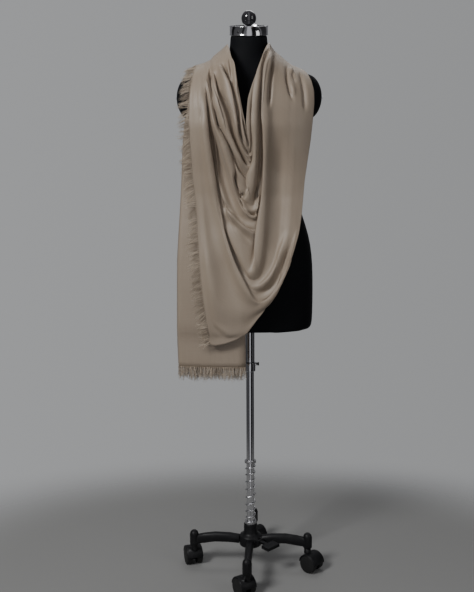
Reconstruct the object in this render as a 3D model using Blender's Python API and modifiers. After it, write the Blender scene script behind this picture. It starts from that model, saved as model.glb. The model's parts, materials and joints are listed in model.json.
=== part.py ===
"""Pashmina shawl draped as a deep cowl over a limbless dress form on a wheeled stand.

Metres, +Z up. The origin is on the pole's axis at floor level, the front looks along -Y, and
left and right are those of somebody who looks at the front. Cloth tables are in millimetres.
"""

import math
import random

import bmesh
import bpy
import numpy as np
from mathutils import Matrix, Vector

MM = 0.001

# ---------------------------------------------------------------- driving sizes: dress form
TORSO_BOTTOM = 0.690
CHEST_Z = 1.240  # the drape turns over towards the shoulders above this height
LEG_TURN_Z = 1.150  # above this the folds gather towards the shoulders
ARM_PLANE_X = 0.1462
ARM_CAP = (0.042, 0.046, 0.060)  # dome depth, half depth front to back, half height
ARM_CAP_Z = 1.295
NECK_TOP = 1.463  # centre of the neck's slanted top
NECK_TILT = math.radians(14)
BAND_RADIUS = 0.0497
BAND_HEIGHT = 0.0235
PLATE_SINK = 0.0060  # how far the band's rim stands over its plate
STEM_HEIGHT = 0.0020
FINIAL_RADIUS = 0.0205

# ---------------------------------------------------------------- driving sizes: stand
GAP = 0.0003
UPPER_TUBE_R = 0.0127
UPPER_TUBE_BORE = 0.0114
UPPER_TUBE_Z = (0.5940, 0.9940)
LOWER_TUBE_R = 0.0108
LOWER_TUBE_Z = (0.0750, 0.7600)
COLLAR_Z = (0.5680, UPPER_TUBE_Z[0] - GAP)
COLLAR_R = 0.0150
SCREW_Z = 0.5880
SPRING_Z = (0.1385, 0.3075)
SPRING_R = 0.0135
SPRING_WIRE = 0.0015
SPRING_TURNS = 8.5
RING_HEIGHT = 0.0070
HUB_Z = (0.0680, SPRING_Z[0] - RING_HEIGHT - 2 * GAP)
BASE_YAW = math.radians(-3.4)
LEG_REACH = 0.1600  # pole axis to caster stem
WHEEL_RADIUS = 0.0240
WHEEL_SIDES = 24
WHEEL_WIDTH = 0.0160
WHEEL_GAP = 0.0140
CASTER_TRAIL = 0.0150
RIM_SOFTENING = 0.0016  # rounding of a wheel's rims
HOOD_SOFTENING = 0.0025  # rounding of a caster hood's rims
CASTER_SWIVELS = (122.0, -42.0, 302.0, 108.0)  # degrees, front, right, back, left
PEDAL_AZIMUTH = math.radians(-46)

# ---------------------------------------------------------------- driving sizes: cloth
CLOTH = 1.4 * MM
WALL_EVENING = 12  # rounds in which the directions of the folded wall are evened out
WALL_FACING = 0.36  # on steep flanks the wall's depth grows no further than by 1 over this
SEAM = 0.6 * MM
FRONT_CLEAR = 34 * MM  # the cowl's mean surface to the chest
TAIL_ROOM = 5 * MM  # what the cowl stands further off where it covers the tail
TAIL_CLEAR = 5 * MM
TAIL_LAYERS = 4
LAYER_STEP = (3.8 * MM, 4.8 * MM)  # at the shoulder, at the hem
TAIL_HEM_Z = 0.603
BACK_CLEAR = 22 * MM
BACK_COLUMNS_A_LEG = 10
FRINGE_GAP = 0.5 * MM
FRINGE_LENGTH = 30 * MM
FRINGE_BACKING = 3 * MM
STRAND_TIP = 0.42  # a strand's thickness at its tip, as a share of that at its root
FRINGE_CELL = 5.6 * MM  # every other cell of a backing carries a strand
SHARP_TURN = 0.6  # cosine of half the angle by which a backing turns back on itself
MITRE_LIMIT = 0.25

# Horizontal sections of the torso: height, half width, depth to the front and to the back
# (mm), and how square the section is (2 is an ellipse).
TORSO_COLUMNS = ("z", "half_width", "front", "back", "square")
TORSO = (
    (690, 158, 95, 99, 2.3),
    (694, 165, 100, 105, 2.3),
    (706, 169, 103, 108, 2.3),
    (760, 170, 105, 112, 2.3),
    (830, 170, 105, 113, 2.3),
    (890, 167, 103, 110, 2.3),
    (940, 158, 99, 104, 2.3),
    (990, 141, 93, 96, 2.3),
    (1045, 123, 88, 89, 2.3),
    (1100, 124, 92, 90, 2.3),
    (1160, 136, 103, 95, 2.4),
    (1215, 146, 110, 98, 2.6),
    (1265, 150, 106, 97, 2.9),
    (1305, 150, 92, 92, 3.0),
    (1330, 147, 78, 84, 2.8),
    (1345, 138, 69, 78, 2.6),
    (1354, 123, 63, 73, 2.4),
    (1366, 97, 57, 66, 2.2),
    (1380, 76, 53, 60, 2.0),
    (1396, 58, 49, 54, 2.0),
    (1412, 49, 47, 50, 2.0),
    (1500, 47, 47, 48, 2.0),
)

# Height of the cloth over the shoulders (mm) by distance from the middle, left negative.
CREST = (
    (-172, 1368), (-138, 1375), (-112, 1382), (-97, 1389), (-89, 1399), (-73, 1411), (-56, 1426),
    (-45, 1432), (45, 1432), (52, 1430), (58, 1419), (66, 1409), (81, 1397), (97, 1383),
    (110, 1374), (133, 1365), (148, 1360), (172, 1354), (200, 1350),
)

# The folds of the cowl from the neckline downwards, in millimetres. Each row runs from the left
# shoulder down to its lowest point and up to the right shoulder. crest is where it meets the
# shoulder, leg the place it heads for below it, round how full the curve is, and lift how far
# it stands off the mean surface.
COWL_COLUMNS = (
    "ridge", "crest_l", "round_l", "low_x", "low_z",
    "round_r", "leg_r", "crest_r", "lift_l", "lift_low", "lift_r",
)
COWL = (
    (1, -54, 0.95, -1, 1169, 0.95, 1, 51.5, -2, 0, -7),
    (1, -59, 1.50, 0, 1153, 1.90, 7, 52.5, 3, 6, 0),
    (0, -63, 1.42, 2, 1143, 2.20, 10, 53.5, -4, -4, -4),
    (1, -70, 1.45, 3, 1135, 2.40, 12, 54.5, 6, 4, -2),
    (0, -84, 1.37, 3, 1124, 2.40, 13.5, 55.5, -6, -6, -3),
    (1, -92, 1.43, 2, 1107, 2.40, 15, 56.5, 7, 9, -3),
    (0, -98, 1.40, 6, 1073, 2.40, 16.5, 57.5, -6, -9, -5),
    (1, -101, 1.52, 0, 1034, 2.60, 20, 58.5, 2, 6, 15),
    (0, -103, 1.50, 4, 1016, 3.00, 27, 60, -6, -9, -4),
    (1, -105, 1.46, 10, 992, 3.00, 30, 61, 6, 13, -5),
    (0, -107, 1.75, 13, 979, 3.00, 33, 62, -4, -6, -6),
    (1, -109, 2.30, 20, 948, 3.00, 36, 63, -2, 8, -6),
    (0, -110.5, 2.05, 14, 912, 3.00, 39, 64, -6, -12, -7),
    (1, -112, 1.70, 4, 852, 3.20, 46, 66, -3, 7, 15),
    (0, -113, 1.74, 8, 834, 3.20, 58, 70, -4, -4, 0),
    (1, -114, 1.82, 12, 819, 2.80, 90, 83, -2, 6, 8),
    (0, -115, 1.88, 16, 807, 2.80, 101, 96, -4, 1, 1),
    (1, -118, 1.90, 20, 785, 2.80, 113, 108, 10, 12, 6),
)
RIDGE_TENSION = 1.0
VALLEY_TENSION = 0.45
LIFT_FROM = (0.35, 0.70)  # share of a left and a right leg where its lift turns into the low one's
LIFT_UNTIL = 0.55  # share of the way up the shoulder where folds begin to flatten
ROW_SPACE = 0.6 * MM  # the least distance between two drawn rows
FOLD_SPREAD = (4 * MM, 3.4 * MM)  # folds narrower than this flatten, left and right
COWL_STEPS = 2
COWL_COLUMNS_A_LEG = 16
OVER_SHOULDER = 9 * MM

# The smooth stretch between the last fold and the cloth's own edge: how far across it each row
# lies and its three lifts.
PANEL = ((0.26, 2, 2, 2), (0.52, 6, 8, 6), (0.77, 2, -4, 4), (1.0, 3, 0, 6))
# That edge (mm): the short fringed side from the left shoulder to the corner, the hem from the
# corner to the middle, and on up to the right shoulder.
EDGE_SIDE = (
    (-134, 1373), (-139, 1352), (-146, 1290), (-149, 1226), (-145, 1131), (-142, 1083),
    (-136, 1034), (-132, 961), (-128, 887), (-119, 787), (-109, 711), (-103, 668),
)
EDGE_BOTTOM = ((-103, 668), (-92, 664), (-61, 671), (-31, 682), (-8, 698), (20, 736))
EDGE_RIGHT = (
    (20, 736), (38, 757), (62, 787), (85, 823), (103, 867), (114, 909), (123, 946), (130, 991),
    (134, 1033), (138, 1081), (145, 1130), (152, 1178), (157, 1226), (161, 1268), (161, 1300),
    (155, 1328), (146, 1348), (133, 1365),
)
CORNER_COLUMN = 13
EDGE_STEPS = 60

# Sides of the folded tail (mm) by height: its left and right edge.
TAIL_SIDES = (
    (603, -186, -11), (680, -188, -12), (886, -184, -18), (973, -178, -26), (1060, -172, -38),
    (1156, -166, -50), (1216, -160, -56), (1300, -143, -58), (1362, -122, -57),
    (1430, -118, -57),
)

# ---------------------------------------------------------------- materials and objects


def clear_scene():
    for old in list(bpy.data.objects):
        bpy.data.objects.remove(old, do_unlink=True)


def collection(name):
    made = bpy.data.collections.new(name)
    bpy.context.scene.collection.children.link(made)
    return made


def material(name, colour, roughness, metallic=0.0):
    made = bpy.data.materials.new(name)
    made.use_nodes = True
    shader = made.node_tree.nodes["Principled BSDF"]
    shader.inputs["Base Color"].default_value = (*colour, 1.0)
    shader.inputs["Roughness"].default_value = roughness
    shader.inputs["Metallic"].default_value = metallic
    return made


def place(name, mesh, look, location=(0, 0, 0), rotation=(0, 0, 0), parent=None, where=None):
    made = bpy.data.objects.new(name, mesh)
    (where or PARTS).objects.link(made)
    made.location = location
    made.rotation_euler = rotation
    made.parent = parent
    if look is not None:
        mesh.materials.append(look)
    return made


def empty(name, location, rotation=(0, 0, 0), parent=None):
    made = bpy.data.objects.new(name, None)
    PARTS.objects.link(made)
    made.location = location
    made.rotation_euler = rotation
    made.parent = parent
    return made


def mesh_of(name, bm):
    bmesh.ops.recalc_face_normals(bm, faces=bm.faces)
    mesh = bpy.data.meshes.new(name)
    bm.to_mesh(mesh)
    bm.free()
    return mesh


def cylinder_mesh(name, radius, depth, sides=32, offset=(0, 0, 0), axis="Z", rim=0.0):
    """A cylinder, with both of its rims rounded when rim gives a width for that."""
    bm = bmesh.new()
    bmesh.ops.create_cone(
        bm, cap_ends=True, segments=sides, radius1=radius, radius2=radius, depth=depth)
    if rim:
        rims = [edge for edge in bm.edges if edge.verts[0].co.z * edge.verts[1].co.z > 0]
        bmesh.ops.bevel(
            bm, geom=rims, offset=rim, segments=2, profile=0.5, affect="EDGES")
    turn = {"Z": Matrix(), "X": Matrix.Rotation(math.pi / 2, 4, "Y"),
            "Y": Matrix.Rotation(-math.pi / 2, 4, "X")}[axis]
    bmesh.ops.transform(bm, matrix=Matrix.Translation(offset) @ turn, verts=bm.verts)
    return mesh_of(name, bm)


def box_mesh(name, size, offset=(0, 0, 0)):
    bm = bmesh.new()
    bmesh.ops.create_cube(bm, size=1.0)
    bmesh.ops.transform(
        bm, matrix=Matrix.Translation(offset) @ Matrix.Diagonal((*size, 1.0)), verts=bm.verts
    )
    return mesh_of(name, bm)


def turned(name, profile, look, sides=24, closed=True, **placed):
    """A profile of (radius, height) points that runs down its outer side, turned about Z."""
    mesh = bpy.data.meshes.new(name)
    edges = [(i, i + 1) for i in range(len(profile) - 1)]
    if closed:
        edges.append((len(profile) - 1, 0))
    mesh.from_pydata([(r, 0, z) for r, z in profile], edges, [])
    made = place(name, mesh, look, **placed)
    screw = made.modifiers.new("Turn", "SCREW")
    screw.steps = sides
    screw.render_steps = sides
    screw.use_merge_vertices = True
    screw.merge_threshold = 0.0001
    return made


def boolean(made, other, operation="DIFFERENCE"):
    cut = made.modifiers.new(operation.title(), "BOOLEAN")
    cut.operation = operation
    cut.object = other
    cut.solver = "EXACT"
    return made


def hidden(made):
    made.hide_render = True
    made.display_type = "WIRE"
    return made


def helper(name, mesh, **placed):
    """An object that only cuts or joins others."""
    return hidden(place(name, mesh, None, where=HELPERS, **placed))


def loft_mesh(name, rings):
    """A closed body through rings of equal numbers of points, with flat ends."""
    bm = bmesh.new()
    rows = [[bm.verts.new(point) for point in ring] for ring in rings]
    for low, high in zip(rows, rows[1:]):
        for i in range(len(low)):
            j = (i + 1) % len(low)
            bm.faces.new((low[i], low[j], high[j], high[i]))
    bm.faces.new(list(reversed(rows[0])))
    bm.faces.new(rows[-1])
    return mesh_of(name, bm)


def cloth_wall(name, grid, look):
    """A wall of the cloth's thickness on a grid of points, one list of points a row."""
    bm = bmesh.new()
    rows = [[bm.verts.new(point) for point in row] for row in grid]
    for low, high in zip(rows, rows[1:]):
        for i in range(len(low) - 1):
            bm.faces.new((low[i], low[i + 1], high[i + 1], high[i]))
    mesh = mesh_of(name, bm)
    mesh.shade_smooth()
    made = place(name, mesh, look)
    wall = made.modifiers.new("Cloth", "SOLIDIFY")
    wall.thickness = CLOTH
    wall.offset = 0.0
    return made


def wall_directions(grid):
    """The cloth's normals and the even directions in which a folded wall is given its depth.

    The directions hardly change from one fold to the next, so the wall's two faces keep their
    distance however close the folds lie.
    """
    normals = np.cross(np.gradient(grid, axis=1), np.gradient(grid, axis=0))
    normals /= np.linalg.norm(normals, axis=2, keepdims=True)
    even = normals.copy()
    for _ in range(WALL_EVENING):
        padded = np.pad(even, ((1, 1), (1, 1), (0, 0)), mode="edge")
        even = (padded[2:, 1:-1] + padded[:-2, 1:-1] + padded[1:-1, 2:] + padded[1:-1, :-2]) / 4
    return normals, even / np.linalg.norm(even, axis=2, keepdims=True)


def folded_wall(name, grid, look):
    """A cloth wall whose faces lie apart along even directions, for narrow folds."""
    normals, even = wall_directions(grid)
    facing = np.maximum((normals * even).sum(axis=2, keepdims=True), WALL_FACING)
    half = even * CLOTH / facing / 2
    bm = bmesh.new()
    sheets = [
        [[bm.verts.new(point) for point in row] for row in sheet]
        for sheet in (grid + half, grid - half)
    ]
    for sheet in sheets:
        for low, high in zip(sheet, sheet[1:]):
            for i in range(len(low) - 1):
                bm.faces.new((low[i], low[i + 1], high[i + 1]))
                bm.faces.new((low[i], high[i + 1], high[i]))
    rims = [
        sheet[0] + [row[-1] for row in sheet[1:]] + sheet[-1][-2::-1]
        + [row[0] for row in sheet[-2:0:-1]] for sheet in sheets
    ]
    for i in range(len(rims[0])):
        j = (i + 1) % len(rims[0])
        bm.faces.new((rims[0][i], rims[0][j], rims[1][j], rims[1][i]))
    mesh = mesh_of(name, bm)
    mesh.shade_smooth()
    return place(name, mesh, look)


# ---------------------------------------------------------------- form of the torso and drape


def table(rows, columns):
    values = np.array(rows, float)
    return {name: values[:, i] for i, name in enumerate(columns)}


TORSO_AT = table(TORSO, TORSO_COLUMNS)
COWL_AT = table(COWL, COWL_COLUMNS)
CREST_AT = np.array(CREST, float) * MM
TAIL_AT = np.array(TAIL_SIDES, float) * MM


def torso_size(column, z):
    return float(np.interp(z / MM, TORSO_AT["z"], TORSO_AT[column])) * MM


def crest_height(x):
    return float(np.interp(x, CREST_AT[:, 0], CREST_AT[:, 1]))


def shoulder_height(x):
    """Height of the bare torso's shoulder line."""
    return float(np.interp(-abs(x) / MM, -TORSO_AT["half_width"][13:], TORSO_AT["z"][13:])) * MM


def falloff(x, half_span, square=2.4):
    return (1 - min(abs(x) / half_span, 0.995) ** square) ** (1 / square)


def front_span(x, z):
    if x < 0:
        return 0.30
    return float(np.interp(z, (0.85, 1.15), (0.26, 0.20)))


def over(z, top):
    """Cosine of the drape's slope angle between the chest and the shoulder's crest."""
    share = (z - CHEST_Z) / max(top - CHEST_Z, 0.001)
    return math.sqrt(max(0.0, 1 - max(0.0, min(1.0, share)) ** 2))


def front_depth(x, z, lift):
    clear = FRONT_CLEAR + TAIL_ROOM * float(np.interp(x, (-0.020, 0.020), (1, 0)))
    reach = torso_size("front", min(z, CHEST_Z)) + clear + lift
    return -reach * falloff(x, front_span(x, z)) * over(z, crest_height(x) + lift)


def back_depth(x, z, lift):
    reach = torso_size("back", min(z, CHEST_Z)) + BACK_CLEAR + lift
    return reach * falloff(x, 0.21) * over(z, crest_height(x) + lift)


def hermite(values, tensions, t):
    """A smooth curve through a column of the table, tighter at the valleys."""
    last = len(values) - 1
    i = min(int(t), last - 1)
    f = t - i
    ahead = np.diff(values)
    slopes = np.concatenate(([ahead[0]], (ahead[1:] + ahead[:-1]) / 2, [ahead[-1]])) * tensions
    a, b = values[i], values[i + 1]
    return (
        (1 + 2 * f) * (1 - f) ** 2 * a + f * (1 - f) ** 2 * slopes[i]
        + f * f * (3 - 2 * f) * b + f * f * (f - 1) * slopes[i + 1]
    )


TENSIONS = np.where(COWL_AT["ridge"] > 0, RIDGE_TENSION, VALLEY_TENSION)
COWL_LAST = len(COWL) - 1


def cowl_row(t):
    """The folds' table read at t, from 0 at the neckline to COWL_LAST at the hem."""
    unscaled = ("ridge", "round_l", "round_r")
    return {
        name: hermite(COWL_AT[name], TENSIONS, t) * (1.0 if name in unscaled else MM)
        for name in COWL_COLUMNS
    }


def smooth(f):
    f = max(0.0, min(1.0, f))
    return f * f * (3 - 2 * f)


def resampled(points, count):
    """The same curve with count even steps."""
    points = np.array(points)
    run = np.concatenate(
        ([0], np.cumsum(np.linalg.norm(np.diff(points[:, :3], axis=0), axis=1))))
    at = np.linspace(0, run[-1], count + 1)
    return np.stack([np.interp(at, run, column) for column in points.T], axis=1)


def with_depth(points, depth):
    """Points (x, z, lift) as (x, y, z, lift)."""
    return np.array([(x, depth(x, z, lift), z, lift) for x, z, lift in points])


def lift_at(lifts, fall, near, start):
    lift = lifts[0] + (lifts[1] - lifts[0]) * smooth((fall - start) / (1 - start))
    return lift * (1 - smooth((near - LIFT_UNTIL) / (1 - LIFT_UNTIL)))


def leg_points(crest, leg, full, low, lifts, start, turn=2.5):
    """One side of a fold as (x, z, lift), from the shoulder's crest to its lowest point."""
    low_x, low_z = low
    top = crest_height(crest)
    falls = np.linspace(0, 1, 90) ** 1.6
    sweeps = (1 - np.linspace(1, 0, 90) ** full) ** (1 / full)
    points = []
    for fall in np.unique(np.concatenate((falls, sweeps))):
        side = max(0.0, 1 - fall**full) ** (1 / full)
        z = top - fall * (top - low_z)
        near = max(0.0, (z - LEG_TURN_Z) / (top - LEG_TURN_Z))
        x = low_x + (leg - low_x) * side + (crest - leg) * near**turn
        points.append((x, z, lift_at(lifts, fall, near, start)))
    return np.array(points)


def kept_outside(leg, inner, side):
    """A leg whose points stay outside those of the row before it; side is -1 for the left."""
    if inner is not None:
        order = np.argsort(inner[:, 1])
        limit = np.interp(leg[:, 1], inner[order, 1], side * inner[order, 0], left=-1.0)
        leg[:, 0] = side * np.maximum(side * leg[:, 0], limit + ROW_SPACE)
    return leg


def over_shoulder(left):
    """A left leg with its end laid over the shoulder's crest."""
    x, _, z, _ = left[0]
    end = [(x, OVER_SHOULDER * s, z - 0.001 * s**2, 0) for s in (1, 0.67, 0.33)]
    return np.concatenate((end, left))


def edge_line(points):
    """An outline of the edge (mm) as fine points on the front's mean surface."""
    line = resampled([(x * MM, z * MM, 0) for x, z in points], EDGE_STEPS)
    return with_depth(line, front_depth)


def panel_rows(fold, steps):
    """Rows between the last fold and the cloth's edge, as blends of the two."""
    lifts = np.array([(0, *(COWL_AT[name][-1] for name in ("lift_l", "lift_low", "lift_r")))]
                     + list(PANEL), float)
    lifts[:, 1:] *= MM
    side = resampled(over_shoulder(edge_line(EDGE_SIDE)), CORNER_COLUMN)
    bottom = resampled(edge_line(EDGE_BOTTOM), COWL_COLUMNS_A_LEG - CORNER_COLUMN)
    right = resampled(edge_line(EDGE_RIGHT[::-1]), COWL_COLUMNS_A_LEG)[::-1]
    edge = np.concatenate((side[:-1], bottom[:-1], right))
    rows = []
    for k in range(1, len(PANEL) * steps + 1):
        share, *row_lifts = (hermite(column, np.ones(len(lifts)), k / steps) for column in lifts.T)
        row = fold + (edge - fold) * share
        for j, point in enumerate(row):
            if j < COWL_COLUMNS_A_LEG:
                fall, pair, start = j / COWL_COLUMNS_A_LEG, row_lifts[:2], LIFT_FROM[0]
            else:
                fall = (2 * COWL_COLUMNS_A_LEG - j) / COWL_COLUMNS_A_LEG
                pair, start = row_lifts[:0:-1], LIFT_FROM[1]
            near = (point[2] - LEG_TURN_Z) / (crest_height(point[0]) - LEG_TURN_Z)
            point[3] = lift_at(pair, fall, near, start)
            if point[1] < -0.001:
                point[1] = front_depth(point[0], point[2], point[3])
        rows.append(row)
    return rows


def row_distances(grid, j):
    """How far apart the rows run at column j, square to their own way."""
    ways = grid[:, min(j + 1, grid.shape[1] - 1)] - grid[:, max(j - 1, 0)]
    ways = (ways[1:] + ways[:-1])[:, [0, 2]]
    ways /= np.linalg.norm(ways, axis=1, keepdims=True)
    steps = np.diff(grid[:, j], axis=0)
    return np.abs(steps[:, 0] * ways[:, 1] - steps[:, 2] * ways[:, 0])


def flattened(grid):
    """The rows with their lifts evened out where they lie close together."""
    for j in range(2 * COWL_COLUMNS_A_LEG + 1):
        column = grid[:, j]
        if column[0, 1] >= -0.001:
            continue
        shares = np.full(len(column), smooth(abs(COWL_COLUMNS_A_LEG - j) / 3))
        shares[-len(PANEL) * COWL_STEPS:] = 1
        spread = FOLD_SPREAD[0 if j < COWL_COLUMNS_A_LEG else 1]
        run = np.concatenate(([0], np.cumsum(row_distances(grid, j))))
        room = np.gradient(run) + 0.0001
        weights = np.exp(-((run[:, None] - run[None, :]) / spread) ** 2 / 2) * room
        even = weights @ column[:, 3] / weights.sum(axis=1)
        for point, lift, share in zip(column, even, shares):
            before = front_depth(point[0], point[2], point[3])
            point[3] += (lift - point[3]) * share
            point[1] += front_depth(point[0], point[2], point[3]) - before
    return grid


def cowl_grid(steps):
    """The front's rows of points, from the neckline to the cloth's other edge."""
    rows = []
    left = right = None
    for k in range(COWL_LAST * steps + 1):
        row = cowl_row(k / steps)
        low = (row["low_x"], row["low_z"])
        left = kept_outside(leg_points(
            row["crest_l"], row["crest_l"], row["round_l"], low,
            (row["lift_l"], row["lift_low"]), LIFT_FROM[0]), left, -1)
        right = kept_outside(leg_points(
            row["crest_r"], row["leg_r"], row["round_r"], low,
            (row["lift_r"], row["lift_low"]), LIFT_FROM[1],
            turn=2.5 + 3.5 * row["leg_r"] / 0.165), right, 1)
        shown = resampled(over_shoulder(with_depth(left, front_depth)), COWL_COLUMNS_A_LEG)
        other = resampled(with_depth(right, front_depth), COWL_COLUMNS_A_LEG)[::-1]
        rows.append(np.concatenate((shown[:-1], other)))
    rows += panel_rows(rows[-1], steps)
    grid = flattened(np.array(rows))[:, :, :3]
    grid[:, -1, 1] = -SEAM / 2
    return grid


def folded(q):
    """Where a point of the folded width lies: its share across and its share of the depth."""
    turn = 0.012
    layer = min(int(q * TAIL_LAYERS), TAIL_LAYERS - 1)
    within = q * TAIL_LAYERS - layer
    across = within if layer % 2 == 0 else 1 - within
    depth = layer
    for k in range(1, TAIL_LAYERS):
        off = q - k / TAIL_LAYERS
        if abs(off) <= turn:
            depth = k - 0.5 + 0.5 * off / turn
    return across, depth / (TAIL_LAYERS - 1)


def fold_samples():
    """Shares of the cloth's width, close together at the turns of the folded tail."""
    samples = []
    for layer in range(TAIL_LAYERS):
        start = layer / TAIL_LAYERS
        inner = (0.0, 0.012, 0.06, 0.11, 0.155, 0.20, 0.238)
        samples += [start + s for s in inner if layer > 0 or s != 0.012]
    return samples + [1.0]


def tail_point(q, z):
    across, depth = folded(q)
    right = float(np.interp(z, TAIL_AT[:, 0], TAIL_AT[:, 2]))
    left = float(np.interp(z, TAIL_AT[:, 0], TAIL_AT[:, 1]))
    near = max(0.0, min(1.0, (z - 1.15) / (1.40 - 1.15)))
    step = LAYER_STEP[1] + (LAYER_STEP[0] - LAYER_STEP[1]) * smooth(near)
    lift = TAIL_CLEAR - 0.001 * smooth(near) + step * (TAIL_LAYERS - 1) * (1 - depth)
    inset = 0.0035 * (depth * (TAIL_LAYERS - 1) // 2)
    x = right + (left - right) * across
    x += inset if across > 0.5 else -inset
    return x, lift


def tail_points(q):
    """One lengthwise line of the tail, from the shoulder's crest to the hem."""
    crest_x, crest_lift = tail_point(q, 1.43)
    top = shoulder_height(crest_x) + crest_lift
    points = []
    for fall in np.linspace(0, 1, 120) ** 1.6:
        z = top - fall * (top - TAIL_HEM_Z)
        x, lift = tail_point(q, z)
        reach = torso_size("front", min(z, CHEST_Z)) + lift
        roof = shoulder_height(x) + lift
        roof += (top - roof) * smooth((z - CHEST_Z) / (top - CHEST_Z))
        points.append((x, -reach * falloff(x, 0.30) * over(z, roof), z))
    points = resampled(points, 14)
    points[0][1] -= SEAM / 2
    return points


def back_points(q, right_crest):
    """One lengthwise line of the stretch behind the neck, right shoulder to left shoulder."""
    low_z = 1.394 - 0.325 * q**0.9
    low = (0.004, low_z)
    lifts = (0.004, 0.006 + 0.007 * math.sin(2 * math.pi * 4.5 * q + 0.6))
    right = with_depth(
        leg_points(right_crest, right_crest, 1.7, low, lifts, LIFT_FROM[0]), back_depth)
    edges = TAIL_AT[-1]
    crest = edges[2] + (edges[1] - edges[2]) * q
    layers = LAYER_STEP[0] * (TAIL_LAYERS - 1)
    rest = shoulder_height(crest) + TAIL_CLEAR + layers * (0.5 + 0.4 * math.cos(4 * math.pi * q))
    top = crest_height(crest)
    left = with_depth(leg_points(crest, crest, 1.7, low, lifts, LIFT_FROM[0]), back_depth)
    for point in left:
        point[2] += (rest - top) * smooth((point[2] - low_z) / (top - low_z)) ** 4
    right = resampled(right, BACK_COLUMNS_A_LEG)[:, :3]
    left = resampled(left, BACK_COLUMNS_A_LEG)[::-1, :3]
    right[0][1] += SEAM / 2
    left[-1][1] += SEAM / 2
    return np.concatenate((right[:-1], left))


# ---------------------------------------------------------------- cloth


def tangents(points):
    last = len(points) - 1
    return [
        (points[min(i + 1, last)] - points[max(i - 1, 0)]).normalized() for i in range(last + 1)
    ]


def half_walls(points, sides):
    """The way from each point to either face of the wall, mitred where the cloth turns back."""
    half = CLOTH / 2
    last = len(points) - 1
    halves = []
    for i, side in enumerate(sides):
        before = (points[i] - points[max(i - 1, 0)]).normalized()
        after = (points[min(i + 1, last)] - points[i]).normalized()
        open_share = (before + after).length / 2
        if 0 < i < last and open_share < SHARP_TURN:
            inward = (after - before).normalized()
            pair = (inward * -half, inward * half / max(open_share, MITRE_LIMIT))
            halves.append(pair if inward.dot(side) > 0 else pair[::-1])
        else:
            halves.append((side * -half, side * half))
    return halves


def fringe(name, points, sides, outs, strand, look):
    """A narrow backing along an edge of the cloth, with strands drawn out of it.

    sides are the cloth's normals along the edge and outs point away from it. strand(k) is the
    vector from root to tip of the strand that leaves cell k, or None for a bare cell.
    """
    bm = bmesh.new()
    rings = []
    for point, (low, high), out in zip(points, half_walls(points, sides), outs):
        inner = point + out * FRINGE_GAP
        outer = inner + out * FRINGE_BACKING
        rings.append([
            bm.verts.new(v) for v in (inner + low, inner + high, outer + high, outer + low)])
    roots = []
    for k, (low, high) in enumerate(zip(rings, rings[1:])):
        faces = [
            bm.faces.new((low[i], low[(i + 1) % 4], high[(i + 1) % 4], high[i]))
            for i in range(4)
        ]
        roots.append(faces[2])
    bm.faces.new(list(reversed(rings[0])))
    bm.faces.new(rings[-1])
    for k, root in enumerate(roots):
        reach = strand(k)
        if reach is None:
            continue
        drawn = bmesh.ops.extrude_discrete_faces(bm, faces=[root])["faces"][0]
        centre = drawn.calc_center_median()
        for v in drawn.verts:
            v.co = centre + (v.co - centre) * STRAND_TIP + reach
    return place(name, mesh_of(name, bm), look)


def cut_in_cells(line):
    """The points of a line with the stretches between them cut in cells."""
    at = []
    for low, high in zip(line, line[1:]):
        cells = max(1, round(np.linalg.norm(high - low) / FRINGE_CELL))
        at += [low + (high - low) * k / cells for k in range(cells)]
    return [Vector(point) for point in at + [line[-1]]]


def build_front_fringe(edge, look):
    rng = random.Random(7)
    points = cut_in_cells([point for point in edge if point[1] < -0.020])
    along = tangents(points)
    ahead = Vector((-0.25, -1, 0))
    outs = [along[i].cross(ahead).normalized() for i in range(len(points))]
    sides = [out.cross(run).normalized() for out, run in zip(outs, along)]

    def strand(k):
        if k % 2 == 0:
            return None
        lean = rng.uniform(-0.09, 0.09)
        fall = outs[k] * (0.72 + lean) + along[k] * (0.68 - lean)
        return fall.normalized() * FRINGE_LENGTH * rng.uniform(0.82, 1.05)

    return fringe("fringe_front", points, sides, outs, strand, look)


def build_tail_fringe(hem, look):
    rng = random.Random(11)
    points = cut_in_cells(hem)
    along = tangents(points)
    down = Vector((0, 0, -1))
    sides = [down.cross(run).normalized() for run in along]

    def turning(k):
        near = [along[i] for i in range(max(k - 2, 0), min(k + 4, len(along)))]
        return any(one.dot(other) < 0.9 for one, other in zip(near, near[1:]))

    def strand(k):
        if k % 2 == 0 or turning(k):
            return None
        fall = Vector((rng.uniform(-0.08, 0.08), rng.uniform(-0.02, 0.02), -1)).normalized()
        return fall * FRINGE_LENGTH * rng.uniform(0.82, 1.05)

    return fringe("fringe_tail", points, sides, [down] * len(points), strand, look)


def build_shawl(look, fringe_look):
    grid = cowl_grid(COWL_STEPS)
    folded_wall("shawl_front", grid, look)
    crests = grid[::COWL_STEPS, -1, 0]
    shares = np.linspace(0, 1, len(crests))
    cloth_wall("shawl_back", [back_points(q, x) for q, x in zip(shares, crests)], look)
    tail = [tail_points(q) for q in fold_samples()]
    cloth_wall("shawl_tail", tail, look)
    build_front_fringe(grid[-1][:CORNER_COLUMN + 1], fringe_look)
    build_tail_fringe([line[-1] for line in tail], fringe_look)


# ---------------------------------------------------------------- dress form


def torso_ring(z, count=28):
    width = torso_size("half_width", z)
    square = float(np.interp(z / MM, TORSO_AT["z"], TORSO_AT["square"]))
    ring = []
    for k in range(count):
        a = 2 * math.pi * k / count
        depth = torso_size("back" if math.sin(a) > 0 else "front", z)
        x = math.copysign(abs(math.cos(a)) ** (2 / square), math.cos(a)) * width
        y = math.copysign(abs(math.sin(a)) ** (2 / square), math.sin(a)) * depth
        ring.append((x, y, z))
    return ring


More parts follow.
